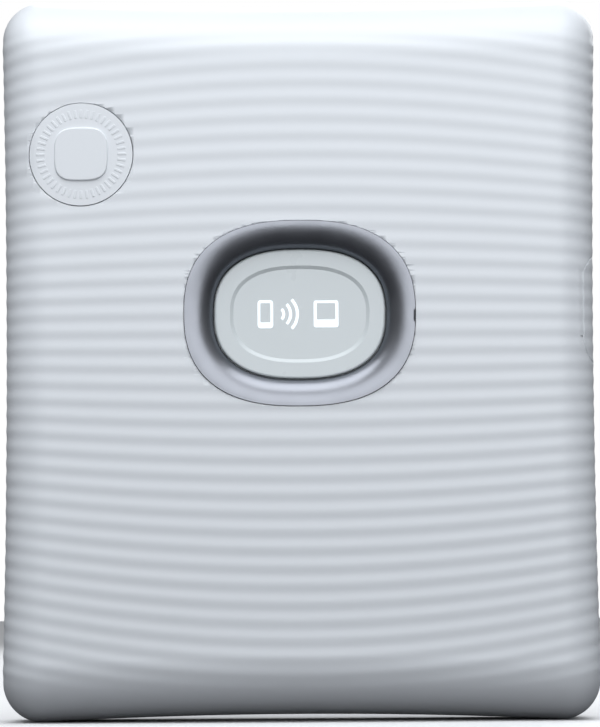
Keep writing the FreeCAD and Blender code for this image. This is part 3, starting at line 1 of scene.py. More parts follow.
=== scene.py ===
# %% [markdown]
# # A pocket photo printer, one finish at a time
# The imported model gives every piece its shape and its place. This lesson adds what a model of plain
# solids lacks: the fine ribs moulded into the case, the satin metal, the glowing mark, the grain.
# Everything is in metres, and a piece's place is in its mesh, so that a pattern on Object
# coordinates stays where it is.

# %% The frame
import json
import math

import bmesh
import bpy
import numpy as np
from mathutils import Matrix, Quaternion, Vector


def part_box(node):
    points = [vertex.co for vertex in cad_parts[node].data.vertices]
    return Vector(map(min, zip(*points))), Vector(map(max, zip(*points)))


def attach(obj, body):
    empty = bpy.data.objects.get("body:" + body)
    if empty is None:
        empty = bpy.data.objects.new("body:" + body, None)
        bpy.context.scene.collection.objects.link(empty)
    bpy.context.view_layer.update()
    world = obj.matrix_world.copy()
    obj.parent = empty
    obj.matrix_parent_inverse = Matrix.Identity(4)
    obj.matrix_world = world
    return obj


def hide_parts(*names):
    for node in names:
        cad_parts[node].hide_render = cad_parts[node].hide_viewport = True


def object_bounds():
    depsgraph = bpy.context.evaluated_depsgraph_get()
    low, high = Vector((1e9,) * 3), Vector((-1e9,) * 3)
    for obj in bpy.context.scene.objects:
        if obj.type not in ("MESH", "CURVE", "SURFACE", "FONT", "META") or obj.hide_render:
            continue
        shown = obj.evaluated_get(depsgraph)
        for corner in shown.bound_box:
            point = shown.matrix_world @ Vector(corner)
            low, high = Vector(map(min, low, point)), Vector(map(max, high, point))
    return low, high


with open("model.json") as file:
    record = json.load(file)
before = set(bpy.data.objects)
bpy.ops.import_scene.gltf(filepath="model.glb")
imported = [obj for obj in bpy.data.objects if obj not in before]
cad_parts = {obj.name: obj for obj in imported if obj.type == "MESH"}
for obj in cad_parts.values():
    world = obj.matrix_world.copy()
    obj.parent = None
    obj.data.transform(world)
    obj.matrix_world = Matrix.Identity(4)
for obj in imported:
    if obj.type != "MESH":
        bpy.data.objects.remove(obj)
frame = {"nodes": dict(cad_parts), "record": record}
cad_low, cad_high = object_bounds()
MM = 0.001
print("case", [round(side / MM, 1) for side in cad_high - cad_low], "mm,", len(frame["nodes"]), "nodes")

# %% [markdown]
# ## The studio
# A white case on a white ground shows its form only through gradients. A large soft box hangs above,
# two weaker ones fill the front and the foot, and one lights the rear. The upper rim turns bright and
# the lower rim dark. The floor looks pale to the camera but throws little light on the case, which
# the Light Path node makes possible. A world colour alone would light all sides alike and flatten the
# ribs.

# %% Helpers for node trees
def add_node(tree, kind, inputs=None, **settings):
    """Adds a node. A socket given as an input is linked, and anything else is set on it."""
    made = tree.nodes.new(kind)
    for key, value in settings.items():
        setattr(made, key, value)
    for key, value in (inputs or {}).items():
        if isinstance(value, bpy.types.NodeSocket):
            tree.links.new(value, made.inputs[key])
        else:
            made.inputs[key].default_value = value
    return made


def calculate(tree, operation, *values, kind="ShaderNodeMath"):
    """One step of arithmetic on sockets and numbers."""
    made = add_node(tree, kind, dict(enumerate(values)), operation=operation)
    return made.outputs["Vector" if kind == "ShaderNodeVectorMath" and operation != "LENGTH" else "Value"]


def empty_tree(owner):
    """The node tree of a material, world or light, emptied."""
    owner.use_nodes = True
    owner.node_tree.nodes.clear()
    return owner.node_tree


# %% Camera
CAMERA_DISTANCE = 0.617
CAMERA_HEIGHT = 0.0215
FRAME_HEIGHT = 0.1296
CAMERA_ROLL = math.radians(-0.35)
CAMERA_SHIFT = -0.004
NEAREST_SEEN = 0.01
centre = (cad_low + cad_high) / 2

camera = bpy.data.objects.new("camera", bpy.data.cameras.new("camera"))
bpy.context.scene.collection.objects.link(camera)
camera.location = (centre.x, centre.y - CAMERA_DISTANCE, CAMERA_HEIGHT)
camera.rotation_mode = "QUATERNION"
camera.rotation_quaternion = (
    (centre - camera.location).to_track_quat("-Z", "Y") @ Quaternion((0, 0, 1), CAMERA_ROLL)
)
camera.data.lens = camera.data.sensor_width * CAMERA_DISTANCE / FRAME_HEIGHT
camera.data.clip_start = NEAREST_SEEN
camera.data.shift_y = CAMERA_SHIFT
bpy.context.scene.camera = camera
bpy.context.scene.view_settings.view_transform = "Standard"
print("lens", round(camera.data.lens), "mm")


# %% Lights
COOL = (0.95, 0.975, 1.0)
TOP_POWER, FILL_POWER, LOW_POWER, BACK_POWER = 3.3, 4.1, 3.0, 3.0


def soft_box(name, place, size, power):
    """A cool rectangular lamp that faces the middle of the case."""
    lamp = bpy.data.lights.new(name, "AREA")
    lamp.shape = "RECTANGLE"
    lamp.size, lamp.size_y = size
    lamp.energy = power
    lamp.color = COOL
    made = bpy.data.objects.new(name, lamp)
    bpy.context.scene.collection.objects.link(made)
    made.location = place
    made.rotation_mode = "QUATERNION"
    made.rotation_quaternion = (centre - Vector(place)).to_track_quat("-Z", "Y")
    made.visible_camera = False


soft_box("top_box", (-0.05, -0.25, 0.62), (0.8, 0.5), TOP_POWER)
soft_box("front_fill", (0.1, -0.9, 0.25), (0.9, 0.7), FILL_POWER)
soft_box("low_fill", (0.15, -0.7, -0.2), (0.9, 0.3), LOW_POWER)
soft_box("back_fill", (0.2, 0.7, 0.5), (0.7, 0.5), BACK_POWER)

# %% World and floor
DARK_BELOW, BRIGHT_ABOVE = 0.03, 0.42
FLOOR_LIT, FLOOR_SEEN = (0.05, 0.05, 0.055, 1), (0.95, 0.95, 0.96, 1)
world = bpy.data.worlds.new("studio")
bpy.context.scene.world = world
tree = empty_tree(world)
direction = add_node(tree, "ShaderNodeTexCoord").outputs["Generated"]
upward = add_node(tree, "ShaderNodeSeparateXYZ", {0: direction}).outputs["Z"]
sky = add_node(
    tree, "ShaderNodeMapRange",
    {"Value": upward, "From Min": -0.5, "From Max": 0.9, "To Min": DARK_BELOW, "To Max": BRIGHT_ABOVE},
)
seen = add_node(tree, "ShaderNodeLightPath").outputs["Is Camera Ray"]
strength = add_node(tree, "ShaderNodeMix", {"Factor": seen, "A": sky.outputs["Result"], "B": 1.0})
glow = add_node(tree, "ShaderNodeBackground", {"Color": (*COOL, 1), "Strength": strength.outputs["Result"]})
white = add_node(tree, "ShaderNodeBackground", {"Color": (1, 1, 1, 1), "Strength": 1.0})
both = add_node(tree, "ShaderNodeMixShader", {0: seen, 1: glow.outputs[0], 2: white.outputs[0]})
add_node(tree, "ShaderNodeOutputWorld", {"Surface": both.outputs[0]})

FLOOR_SIDE = 6.0
bpy.ops.mesh.primitive_plane_add(size=FLOOR_SIDE)
floor = bpy.context.object
floor.name = "floor"
floor_paint = bpy.data.materials.new("floor_paint")
tree = empty_tree(floor_paint)
seen = add_node(tree, "ShaderNodeLightPath").outputs["Is Camera Ray"]
pale = add_node(tree, "ShaderNodeMix", {6: FLOOR_LIT, 7: FLOOR_SEEN, "Factor": seen}, data_type="RGBA")
matt = add_node(tree, "ShaderNodeBsdfPrincipled", {"Base Color": pale.outputs[2], "Roughness": 0.8})
add_node(tree, "ShaderNodeOutputMaterial", {"Surface": matt.outputs[0]})
floor.data.materials.append(floor_paint)
print("floor", FLOOR_SIDE, "m square")

# %% [markdown]
# ## The ribbed case
# The case is a pillow with a domed front and edges that bow inwards, moulded with shallow waves that
# lie flat across the middle and bend towards the ends. A bump map would fake them, but then the
# outline would stay smooth, so the waves are real. First comes the smooth pillow: lines run outwards
# from a small inner box, and each is cut where it leaves the rounded body, which is found by halving.

# %% Sizes of the case, in millimetres
HALF_WIDTH, HALF_DEPTH, HEIGHT = 52.65, 17.2, 127.9
MIDDLE = HEIGHT / 2
DOME_RADIUS = 800.0
SIDE_BOW, END_BOW = 0.9, 1.2
SIDE_ROLL, FRONT_ROLL, REAR_ROLL = 7.0, 10.5, 7.5
SKIN = 0.05
SIDE_ARC = ((MIDDLE - SIDE_ROLL) ** 2 + SIDE_BOW**2) / (2 * SIDE_BOW)
END_ARC = ((HALF_WIDTH - SIDE_ROLL) ** 2 + END_BOW**2) / (2 * END_BOW)
print("side arc", round(SIDE_ARC), "end arc", round(END_ARC))


# %% How far a point is from the smooth case
def rounded_corner(first, second, radius):
    """Distance to a corner between two faces, rounded by a ball."""
    outer = np.hypot(np.maximum(first + radius, 0), np.maximum(second + radius, 0))
    return np.minimum(np.maximum(first, second) + radius, 0) + outer - radius


def case_distance(points):
    """Millimetres outside the smooth case, less than zero inside."""
    x, y, z = points[..., 0], points[..., 1], points[..., 2]
    up = z - MIDDLE
    front = np.sqrt(x**2 + (y + HALF_DEPTH - DOME_RADIUS) ** 2 + up**2) - DOME_RADIUS
    side = SIDE_ARC - np.hypot(np.abs(x) - (HALF_WIDTH - SIDE_BOW + SIDE_ARC), up)
    end = END_ARC - np.hypot(x, np.abs(up) - (MIDDLE - END_BOW + END_ARC))
    profile = np.maximum(
        rounded_corner(front, end, FRONT_ROLL),
        rounded_corner(y - HALF_DEPTH, end, REAR_ROLL),
    )
    return rounded_corner(profile, side, SIDE_ROLL) + SKIN


def leave_case(starts, directions, reach=45.0, halvings=34):
    """Where lines from inside the case come out of it."""
    low = np.zeros(starts.shape[:-1])
    high = np.full(starts.shape[:-1], reach)
    for _ in range(halvings):
        middle = (low + high) / 2
        inside = case_distance(starts + middle[..., None] * directions) < 0
        low = np.where(inside, middle, low)
        high = np.where(inside, high, middle)
    return starts + low[..., None] * directions


print("front stands", round(float(leave_case(np.array([0, 0, MIDDLE]), np.array([0, -1.0, 0]))[1]), 2), "mm")

# %% Lines that leave the inner box, round the case and from end to end
CORE_X, CORE_FRONT, CORE_REAR, CORE_END = 44.0, -4.0, 7.0, 12.0
ROWS_PER_RIB = 12
RIB_PITCH = 3.155
FACE_STEPS, CORNER_STEPS = (52, 6, 52, 6), 14
END_RINGS, ROLL_ROWS = 7, 69


def loop_lines():
    """Start points and directions of one level turn round the case."""
    corners = [(-CORE_X, CORE_FRONT), (CORE_X, CORE_FRONT), (CORE_X, CORE_REAR), (-CORE_X, CORE_REAR)]
    starts, angles = [], []
    for index, steps in enumerate(FACE_STEPS):
        here, there = np.array(corners[index]), np.array(corners[(index + 1) % 4])
        facing = -math.pi / 2 + index * math.pi / 2
        for step in range(steps):
            starts.append(here + (there - here) * step / steps)
            angles.append(facing)
        for step in range(CORNER_STEPS):
            starts.append(there)
            angles.append(facing + step / CORNER_STEPS * math.pi / 2)
    return np.array(starts), np.array(angles)


def row_lines():
    """Height, share of the loop and tilt of each row, from the middle of the foot to that of the head."""
    low, high = CORE_END, HEIGHT - CORE_END
    shares = np.linspace(0, 1, END_RINGS + 2)[1:-1]
    tilts = np.linspace(0, math.pi / 2, ROLL_ROWS + 1)[1:]
    heights = np.arange(low, high, RIB_PITCH / ROWS_PER_RIB)
    foot = [(low, share, -math.pi / 2) for share in shares] + [(low, 1, -tilt) for tilt in tilts[::-1]]
    sides = [(height, 1, 0) for height in heights] + [(high, 1, 0)]
    head = [(high, 1, tilt) for tilt in tilts] + [(high, share, math.pi / 2) for share in shares[::-1]]
    return np.array(foot + sides + head)


loops, angles = loop_lines()
rows = row_lines()
core_middle = np.array([0, (CORE_FRONT + CORE_REAR) / 2])
print(len(rows), "rows of", len(angles))

# %% The smooth pillow as a closed mesh
flat = core_middle + (loops - core_middle)[None] * rows[:, None, None, 1]
starts = np.concatenate([flat, np.broadcast_to(rows[:, None, :1], (*flat.shape[:2], 1))], axis=2)
level = np.stack([np.cos(angles), np.sin(angles)], axis=1)
tilt = rows[:, 2]
directions = np.concatenate(
    [level[None] * np.cos(tilt)[:, None, None],
     np.broadcast_to(np.sin(tilt)[:, None, None], (*flat.shape[:2], 1))],
    axis=2,
)
skin = leave_case(starts, directions)
poles = leave_case(
    np.array([[*core_middle, CORE_END], [*core_middle, HEIGHT - CORE_END]]),
    np.array([[0, 0, -1.0], [0, 0, 1.0]]),
)


def closed_grid(name, grid, ends):
    """A mesh of rows that close on themselves, with a pole at each end. Faces point outwards."""
    count, turn = grid.shape[:2]
    index = np.arange(count * turn).reshape(count, turn)
    after = np.roll(index, -1, axis=1)
    quads = np.stack([index[:-1], after[:-1], after[1:], index[1:]], axis=-1).reshape(-1, 4)
    foot, head = count * turn, count * turn + 1
    foot_fan = [(foot, b, a) for a, b in zip(index[0], after[0])]
    head_fan = [(head, a, b) for a, b in zip(index[-1], after[-1])]
    points = np.vstack([grid.reshape(-1, 3), ends]) * MM
    mesh = bpy.data.meshes.new(name)
    mesh.from_pydata(points.tolist(), [], quads.tolist() + foot_fan + head_fan)
    mesh.validate()
    mesh.shade_smooth()
    return mesh


def new_object(name, mesh):
    """A new object at the origin."""
    made = bpy.data.objects.new(name, mesh)
    bpy.context.scene.collection.objects.link(made)
    return made


pillow = new_object("pillow", closed_grid("pillow", skin, poles))
print(len(pillow.data.polygons), "faces")

# %% [markdown]
# ## The ribs
# The waves follow a rule, so Geometry Nodes make them. Each point of the pillow moves inwards along
# its normal by a wave of its height. The pitch shrinks towards the sides, which bends the ribs, and
# a fade leaves the foot and the head smooth. With the sizes as named inputs, one tree can try other
# pitches without touching the mesh underneath.

# %% Helpers for Geometry Nodes
def geometry_tree(name, sizes):
    """A tree with named number inputs. Gives the tree and its input node."""
    tree = bpy.data.node_groups.new(name, "GeometryNodeTree")
    tree.interface.new_socket("Geometry", in_out="INPUT", socket_type="NodeSocketGeometry")
    for label, value in sizes.items():
        kind = "NodeSocketInt" if isinstance(value, int) else "NodeSocketFloat"
        tree.interface.new_socket(label, in_out="INPUT", socket_type=kind)
    tree.interface.new_socket("Material", in_out="INPUT", socket_type="NodeSocketMaterial")
    tree.interface.new_socket("Geometry", in_out="OUTPUT", socket_type="NodeSocketGeometry")
    return tree, tree.nodes.new("NodeGroupInput")


def close_tree(tree, start, geometry):
    """Ends a tree: real geometry with its material on it."""
    real = add_node(tree, "GeometryNodeRealizeInstances", {0: geometry})
    material = start.outputs["Material"]
    painted = add_node(tree, "GeometryNodeSetMaterial", {0: real.outputs[0], "Material": material})
    add_node(tree, "NodeGroupOutput", {0: painted.outputs[0]})


def grow(tree, base, values):
    """Runs a tree on an object and gives the result as a plain mesh."""
    modifier = base.modifiers.new(tree.name, "NODES")
    modifier.node_group = tree
    for item in tree.interface.items_tree:
        if item.in_out == "INPUT" and item.name in values:
            modifier[item.identifier] = values[item.name]
    evaluated = base.evaluated_get(bpy.context.evaluated_depsgraph_get())
    mesh = bpy.data.meshes.new_from_object(evaluated)
    base.modifiers.remove(modifier)
    return mesh


# %% The rib tree
RIBS = {
    "Rib Pitch": RIB_PITCH * MM,
    "Rib Depth": 0.085 * MM,
    "Crowding": 0.108,
    "Straight Height": 68.2 * MM,
    "Half Width": HALF_WIDTH * MM,
    "Case Height": HEIGHT * MM,
    "Fade Start": 5.5 * MM,
    "Fade End": 9.0 * MM,
}


def rib_tree():
    """Moves every point inwards by a wave of its height."""
    tree, start = geometry_tree("moulded_ribs", RIBS)
    size = start.outputs
    position = add_node(tree, "GeometryNodeInputPosition").outputs[0]
    place = add_node(tree, "ShaderNodeSeparateXYZ", {0: position})
    across = calculate(tree, "DIVIDE", place.outputs["X"], size["Half Width"])
    squeeze = calculate(tree, "MULTIPLY", calculate(tree, "MULTIPLY", across, across), size["Crowding"])
    pitch = calculate(tree, "MULTIPLY", size["Rib Pitch"], calculate(tree, "SUBTRACT", 1.0, squeeze))
    above = calculate(tree, "SUBTRACT", place.outputs["Z"], size["Straight Height"])
    count = calculate(tree, "DIVIDE", above, pitch)
    cosine = calculate(tree, "COSINE", calculate(tree, "MULTIPLY", count, math.tau))
    wave = calculate(tree, "MULTIPLY_ADD", cosine, -0.5, 0.5)
    from_head = calculate(tree, "SUBTRACT", size["Case Height"], place.outputs["Z"])
    to_end = calculate(tree, "MINIMUM", place.outputs["Z"], from_head)
    fade = add_node(
        tree, "ShaderNodeMapRange",
        {"Value": to_end, "From Min": size["Fade Start"], "From Max": size["Fade End"]},
        interpolation_type="SMOOTHSTEP",
    )
    faded = calculate(tree, "MULTIPLY", wave, fade.outputs["Result"])
    depth = calculate(tree, "MULTIPLY", faded, size["Rib Depth"])
    normal = add_node(tree, "GeometryNodeInputNormal").outputs[0]
    inward = add_node(
        tree, "ShaderNodeVectorMath",
        {0: normal, "Scale": calculate(tree, "MULTIPLY", depth, -1.0)},
        operation="SCALE",
    )
    moved = add_node(
        tree, "GeometryNodeSetPosition", {"Geometry": size["Geometry"], "Offset": inward.outputs[0]}
    )
    close_tree(tree, start, moved.outputs[0])
    return tree


# %% [markdown]
# ## Shader groups that every finish shares
# Real surfaces are never even. Three small groups hold what many finishes need: a fine moulded grain,
# brush lines, and wear where an edge is touched. Each puts out values that change over the surface,
# and the shader itself stays in each material, where its plain numbers are set.

# %% Helpers for shader groups
def shader_group(name, inputs, outputs):
    """A node group with named sockets. Gives the group, its input node and its output node."""
    tree = bpy.data.node_groups.new(name, "ShaderNodeTree")
    for label, value in inputs.items():
        kind = "NodeSocketVector" if isinstance(value, tuple) else "NodeSocketFloat"
        socket = tree.interface.new_socket(label, in_out="INPUT", socket_type=kind)
        socket.default_value = value
    for label in outputs:
        tree.interface.new_socket(label, in_out="OUTPUT", socket_type="NodeSocketFloat")
    return tree, tree.nodes.new("NodeGroupInput").outputs, tree.nodes.new("NodeGroupOutput").inputs


def use_group(tree, group, inputs):
    """Places a group in a material."""
    return add_node(tree, "ShaderNodeGroup", inputs, node_tree=group).outputs


# %% Grain, brush lines and wear
def grain_group():
    """Height is the moulded grain, and Cloud is a slow change of tone."""
    tree, given, result = shader_group(
        "moulded_grain", {"Vector": (0, 0, 0), "Scale": 4000.0}, ["Height", "Cloud"]
    )
    fine = add_node(
        tree, "ShaderNodeTexNoise", {"Vector": given["Vector"], "Scale": given["Scale"], "Detail": 2.0}
    )
    slow = calculate(tree, "MULTIPLY", given["Scale"], 0.012)
    cloud = add_node(tree, "ShaderNodeTexNoise", {"Vector": given["Vector"], "Scale": slow, "Detail": 3.0})
    tree.links.new(fine.outputs[0], result["Height"])
    tree.links.new(cloud.outputs[0], result["Cloud"])
    return tree


def brush_group():
    """Long scratches along one direction: small numbers in Stretch make them long."""
    tree, given, result = shader_group(
        "brush_lines", {"Vector": (0, 0, 0), "Stretch": (1, 1, 1), "Scale": 3000.0}, ["Height", "Cloud"]
    )
    drawn = calculate(tree, "MULTIPLY", given["Vector"], given["Stretch"], kind="ShaderNodeVectorMath")
    lines = add_node(tree, "ShaderNodeTexNoise", {"Vector": drawn, "Scale": given["Scale"], "Detail": 4.0})
    slow = calculate(tree, "MULTIPLY", given["Scale"], 0.02)
    cloud = add_node(tree, "ShaderNodeTexNoise", {"Vector": given["Vector"], "Scale": slow, "Detail": 3.0})
    tree.links.new(lines.outputs[0], result["Height"])
    tree.links.new(cloud.outputs[0], result["Cloud"])
    return tree


def wear_group():
    """One along sharp edges, broken up by noise, and nought elsewhere."""
    tree, given, result = shader_group(
        "edge_wear", {"Vector": (0, 0, 0), "Radius": 0.0004, "Scale": 900.0}, ["Mask"]
    )
    eased = add_node(tree, "ShaderNodeBevel", {"Radius": given["Radius"]}, samples=4)
    true = add_node(tree, "ShaderNodeNewGeometry").outputs["True Normal"]
    alike = add_node(tree, "ShaderNodeVectorMath", {0: eased.outputs[0], 1: true}, operation="DOT_PRODUCT")
    edge = add_node(
        tree, "ShaderNodeMapRange", {"Value": alike.outputs["Value"], "From Min": 0.995, "From Max": 0.86}
    )
    patchy = add_node(
        tree, "ShaderNodeTexNoise", {"Vector": given["Vector"], "Scale": given["Scale"], "Detail": 3.0}
    )
    worn = add_node(
        tree, "ShaderNodeMapRange", {"Value": patchy.outputs[0], "From Min": 0.35, "From Max": 0.65}
    )
    mask = calculate(tree, "MULTIPLY", edge.outputs["Result"], worn.outputs["Result"])
    tree.links.new(mask, result["Mask"])
    return tree


GRAIN, BRUSH, WEAR = grain_group(), brush_group(), wear_group()
print("groups:", GRAIN.name, BRUSH.name, WEAR.name)

# %% [markdown]
# ## The finishes
# One function makes a finish from a maker's words: its colour, how much the tone drifts, how rough it
# is, how deep its grain is, and how its edges wear. A finish given a stretch is brushed, and the rest are
# grained. A finish with a pattern of its own, such as the circuit board, adds it to the same base.

# %% One finish
PLASTIC, METAL = 0.0, 1.0


def finish(name, colour, roughness, metallic=PLASTIC, drift=0.06, grain=0.00002, scale=4000.0,
           stretch=None, wear=0.0, worn_colour=None, **shader):
    """A material on Object coordinates. Colour drifts by a share, and grain is a depth in metres."""
    material = bpy.data.materials.new(name)
    tree = empty_tree(material)
    place = add_node(tree, "ShaderNodeTexCoord").outputs["Object"]
    if stretch:
        surface = use_group(tree, BRUSH, {"Vector": place, "Stretch": stretch, "Scale": scale})
    else:
        surface = use_group(tree, GRAIN, {"Vector": place, "Scale": scale})
    low = tuple(part * (1 - drift) for part in colour)
    high = tuple(min(part * (1 + drift), 1) for part in colour)
    tones = {0: surface["Cloud"], 6: (*low, 1), 7: (*high, 1)}
    base = add_node(tree, "ShaderNodeMix", tones, data_type="RGBA").outputs[2]
    rough = add_node(
        tree, "ShaderNodeMapRange",
        {"Value": surface["Cloud"], "From Min": 0.3, "From Max": 0.7,
         "To Min": roughness * 0.9, "To Max": roughness * 1.1},
    ).outputs["Result"]
    if wear:
        mask = use_group(tree, WEAR, {"Vector": place})["Mask"]
        amount = calculate(tree, "MULTIPLY", mask, wear)
        light = worn_colour or tuple(min(part * 1.5 + 0.08, 1) for part in colour)
        tones = {0: amount, 6: base, 7: (*light, 1)}
        base = add_node(tree, "ShaderNodeMix", tones, data_type="RGBA").outputs[2]
    bump = add_node(tree, "ShaderNodeBump", {"Height": surface["Height"], "Distance": grain})
    principled = add_node(
        tree, "ShaderNodeBsdfPrincipled",
        {"Base Color": base, "Roughness": rough, "Normal": bump.outputs[0], "Metallic": metallic, **shader},
        name="paint",
    )
    add_node(tree, "ShaderNodeOutputMaterial", {"Surface": principled.outputs[0]})
    return material


def lay_over(material, mask, colour):
    """Lays one more colour over a finish where a mask is one."""
    tree = material.node_tree
    base = tree.nodes["paint"].inputs["Base Color"]
    under = base.links[0].from_socket
    mixed = add_node(tree, "ShaderNodeMix", {0: mask, 6: under, 7: (*colour, 1)}, data_type="RGBA")
    tree.links.new(mixed.outputs[2], base)


# %% The finishes of this printer
FINISHES = {
    "case_plastic": finish("case_plastic", (0.79, 0.82, 0.86), 0.38, drift=0.008, grain=0.000004,
                           scale=9000.0, **{"Coat Weight": 0.15, "Coat Roughness": 0.35}),
    "button_plastic": finish("button_plastic", (0.80, 0.83, 0.87), 0.36, drift=0.008, grain=0.000003,
                             scale=9000.0),
    "pearl_plastic": finish("pearl_plastic", (0.70, 0.75, 0.77), 0.30, drift=0.012, grain=0.000003,
                            scale=14000.0, **{"Coat Weight": 0.35, "Coat Roughness": 0.18}),
    "satin_metal": finish("satin_metal", (0.62, 0.63, 0.68), 0.34, METAL, drift=0.03, grain=0.000006,
                          scale=14000.0),
    "diffuser": finish("diffuser", (0.86, 0.87, 0.86), 0.45, drift=0.02,
                       **{"Subsurface Weight": 0.3, "Subsurface Radius": (0.002, 0.002, 0.002)}),
    "white_plastic": finish("white_plastic", (0.78, 0.78, 0.76), 0.42, drift=0.03, grain=0.00001),
    "switch_black": finish("switch_black", (0.022, 0.022, 0.024), 0.38, drift=0.2, wear=0.3),
    "tinned_steel": finish("tinned_steel", (0.70, 0.70, 0.68), 0.28, METAL, drift=0.08, grain=0.000006,
                           stretch=(0.06, 1, 1), wear=0.4),
    "chip_black": finish("chip_black", (0.03, 0.03, 0.033), 0.55, drift=0.15, grain=0.00001),
    "copper_film": finish("copper_film", (0.85, 0.48, 0.28), 0.32, METAL, drift=0.1, grain=0.000008),
    "cell_wrap": finish("cell_wrap", (0.11, 0.13, 0.17), 0.22, drift=0.12, grain=0.00003, scale=700.0,
                        **{"Coat Weight": 0.5, "Coat Roughness": 0.15}),
    "black_plastic": finish("black_plastic", (0.028, 0.028, 0.03), 0.48, drift=0.2, grain=0.00003,
                            scale=5000.0, wear=0.35),
    "lens_glass": finish("lens_glass", (0.35, 0.40, 0.45), 0.08, drift=0.05, grain=0.000001,
                         **{"Coat Weight": 0.8, "Coat Roughness": 0.05}),
    "black_foam": finish("black_foam", (0.016, 0.016, 0.017), 0.95, drift=0.3, grain=0.0001, scale=3000.0),
    "screw_steel": finish("screw_steel", (0.42, 0.42, 0.44), 0.35, METAL, drift=0.12, grain=0.000008,
                          wear=0.6, worn_colour=(0.75, 0.75, 0.76)),
    "spring_steel": finish("spring_steel", (0.55, 0.54, 0.52), 0.27, METAL, drift=0.12, grain=0.000006),
    "sheet_steel": finish("sheet_steel", (0.56, 0.57, 0.58), 0.36, METAL, drift=0.07, grain=0.000008,
                          stretch=(1, 1, 0.05), wear=0.5, worn_colour=(0.78, 0.78, 0.79)),
    "roller_steel": finish("roller_steel", (0.60, 0.61, 0.62), 0.24, METAL, drift=0.05, grain=0.000005,
                           stretch=(1, 0.03, 0.03)),
    "bush_plastic": finish("bush_plastic", (0.75, 0.72, 0.64), 0.5, drift=0.06),
    "gear_plastic": finish("gear_plastic", (0.72, 0.70, 0.62), 0.46, drift=0.06, grain=0.000015, wear=0.2),
    "brass": finish("brass", (0.78, 0.58, 0.28), 0.28, METAL, drift=0.09, grain=0.000006, wear=0.4,
                    worn_colour=(0.95, 0.80, 0.50)),
    "motor_can": finish("motor_can", (0.58, 0.58, 0.57), 0.30, METAL, drift=0.09, grain=0.000008,
                        stretch=(0.05, 1, 1), wear=0.4),
}


# %% The circuit board
def board_finish():
    """Green lacquer, paler over the copper tracks, which run in square steps."""
    material = finish("circuit_board", (0.012, 0.10, 0.055), 0.34, drift=0.15, grain=0.000006)
    tree = material.node_tree
    place = add_node(tree, "ShaderNodeTexCoord").outputs["Object"]
    turned = add_node(tree, "ShaderNodeMapping", {"Vector": place, "Rotation": (math.pi / 2, 0, 0)})
    tracks = add_node(
        tree, "ShaderNodeTexBrick",
        {"Vector": turned.outputs[0], "Scale": 130.0, "Mortar Size": 0.03, "Brick Width": 0.9,
         "Row Height": 0.33},
    )
    lay_over(material, tracks.outputs["Fac"], (0.05, 0.24, 0.12))
    return material


FINISHES["circuit_board"] = board_finish()
print(len(FINISHES), "finishes")

# %% Every node takes the finish of its slot
slot_of = {part["node"]: part["material_slot"] for part in frame["record"]["subparts"]}


def paint(piece, slot):
    """Gives a piece the one finish of its slot."""
    piece.data.materials.clear()
    piece.data.materials.append(FINISHES[slot])


for name, cad_node in frame["nodes"].items():
    paint(cad_node, slot_of[name])
print(len(slot_of), "nodes painted with", len(set(slot_of.values())), "finishes")

# %% [markdown]
# ## Shells cut from the ribbed pillow
# Four pieces show the ribs: both halves of the case, the film door and the latch. Each is what its own
# solid and the ribbed pillow have in common, which the Boolean modifier finds. The ribs then run on
# unbroken from piece to piece, as they do when one mould pattern crosses them all.

# %% The ribbed pillow
ribbed = new_object("ribbed", grow(rib_tree(), pillow, {**RIBS, "Material": FINISHES["case_plastic"]}))
bpy.data.objects.remove(pillow)
print(len(ribbed.data.polygons), "faces with ribs", round(RIBS["Rib Depth"] / MM, 2), "mm deep")


# %% The groove where the halves of the case meet
PARTING = 3.0
GROOVE_DEPTH, GROOVE_REACH, GROOVE_HALF = 0.22, 0.4, 0.26
GROOVE_STEPS = 720


def outward_faces(mesh):
    """Turns the faces of a closed mesh outwards."""
    shape = bmesh.new()
    shape.from_mesh(mesh)
    bmesh.ops.recalc_face_normals(shape, faces=shape.faces)
    shape.to_mesh(mesh)
    shape.free()


def groove_ring():
    """A closed ring of triangles round the parting line, whose inner edge lies under the skin."""
    turns = np.linspace(0, 2 * math.pi, GROOVE_STEPS, endpoint=False)
    starts = np.zeros((len(turns), 3))
    starts[:, 1] = PARTING
    starts[:, 2] = MIDDLE
    outward = np.stack([np.cos(turns), np.zeros_like(turns), np.sin(turns)], axis=1)
    edge = leave_case(starts, outward, reach=95.0)
    rings = [edge - outward * GROOVE_DEPTH, edge + outward * GROOVE_REACH, edge + outward * GROOVE_REACH]
    rings[1] = rings[1] - np.array([0, GROOVE_HALF, 0])
    rings[2] = rings[2] + np.array([0, GROOVE_HALF, 0])
    points = np.concatenate(rings)
    count = len(turns)
    faces = []
    for ring in range(3):
        here, there = ring * count, (ring + 1) % 3 * count
        for step in range(count):
            after = (step + 1) % count
            faces.append((here + step, here + after, there + after, there + step))
    mesh = bpy.data.meshes.new("groove")
    mesh.from_pydata((points * MM).tolist(), [], faces)
    outward_faces(mesh)
    return new_object("groove", mesh)


# %% Copies that can be cut
SHARP = math.radians(28)
WELD = 1e-7


def merged_copy(node_name):
    """The mesh of a CAD node with its loose triangles joined."""
    shape = bmesh.new()
    shape.from_mesh(frame["nodes"][node_name].data)
    bmesh.ops.remove_doubles(shape, verts=shape.verts, dist=WELD)
    mesh = bpy.data.meshes.new(node_name + "_merged")
    shape.to_mesh(mesh)
    shape.free()
    return mesh


def combine(piece, tool, operation):
    """One Boolean step, applied."""
    modifier = piece.modifiers.new(operation.lower(), "BOOLEAN")
    modifier.object = tool
    modifier.operation = operation
    modifier.solver = "MANIFOLD"
    evaluated = piece.evaluated_get(bpy.context.evaluated_depsgraph_get())
    mesh = bpy.data.meshes.new_from_object(evaluated)
    piece.modifiers.remove(modifier)
    piece.data = mesh


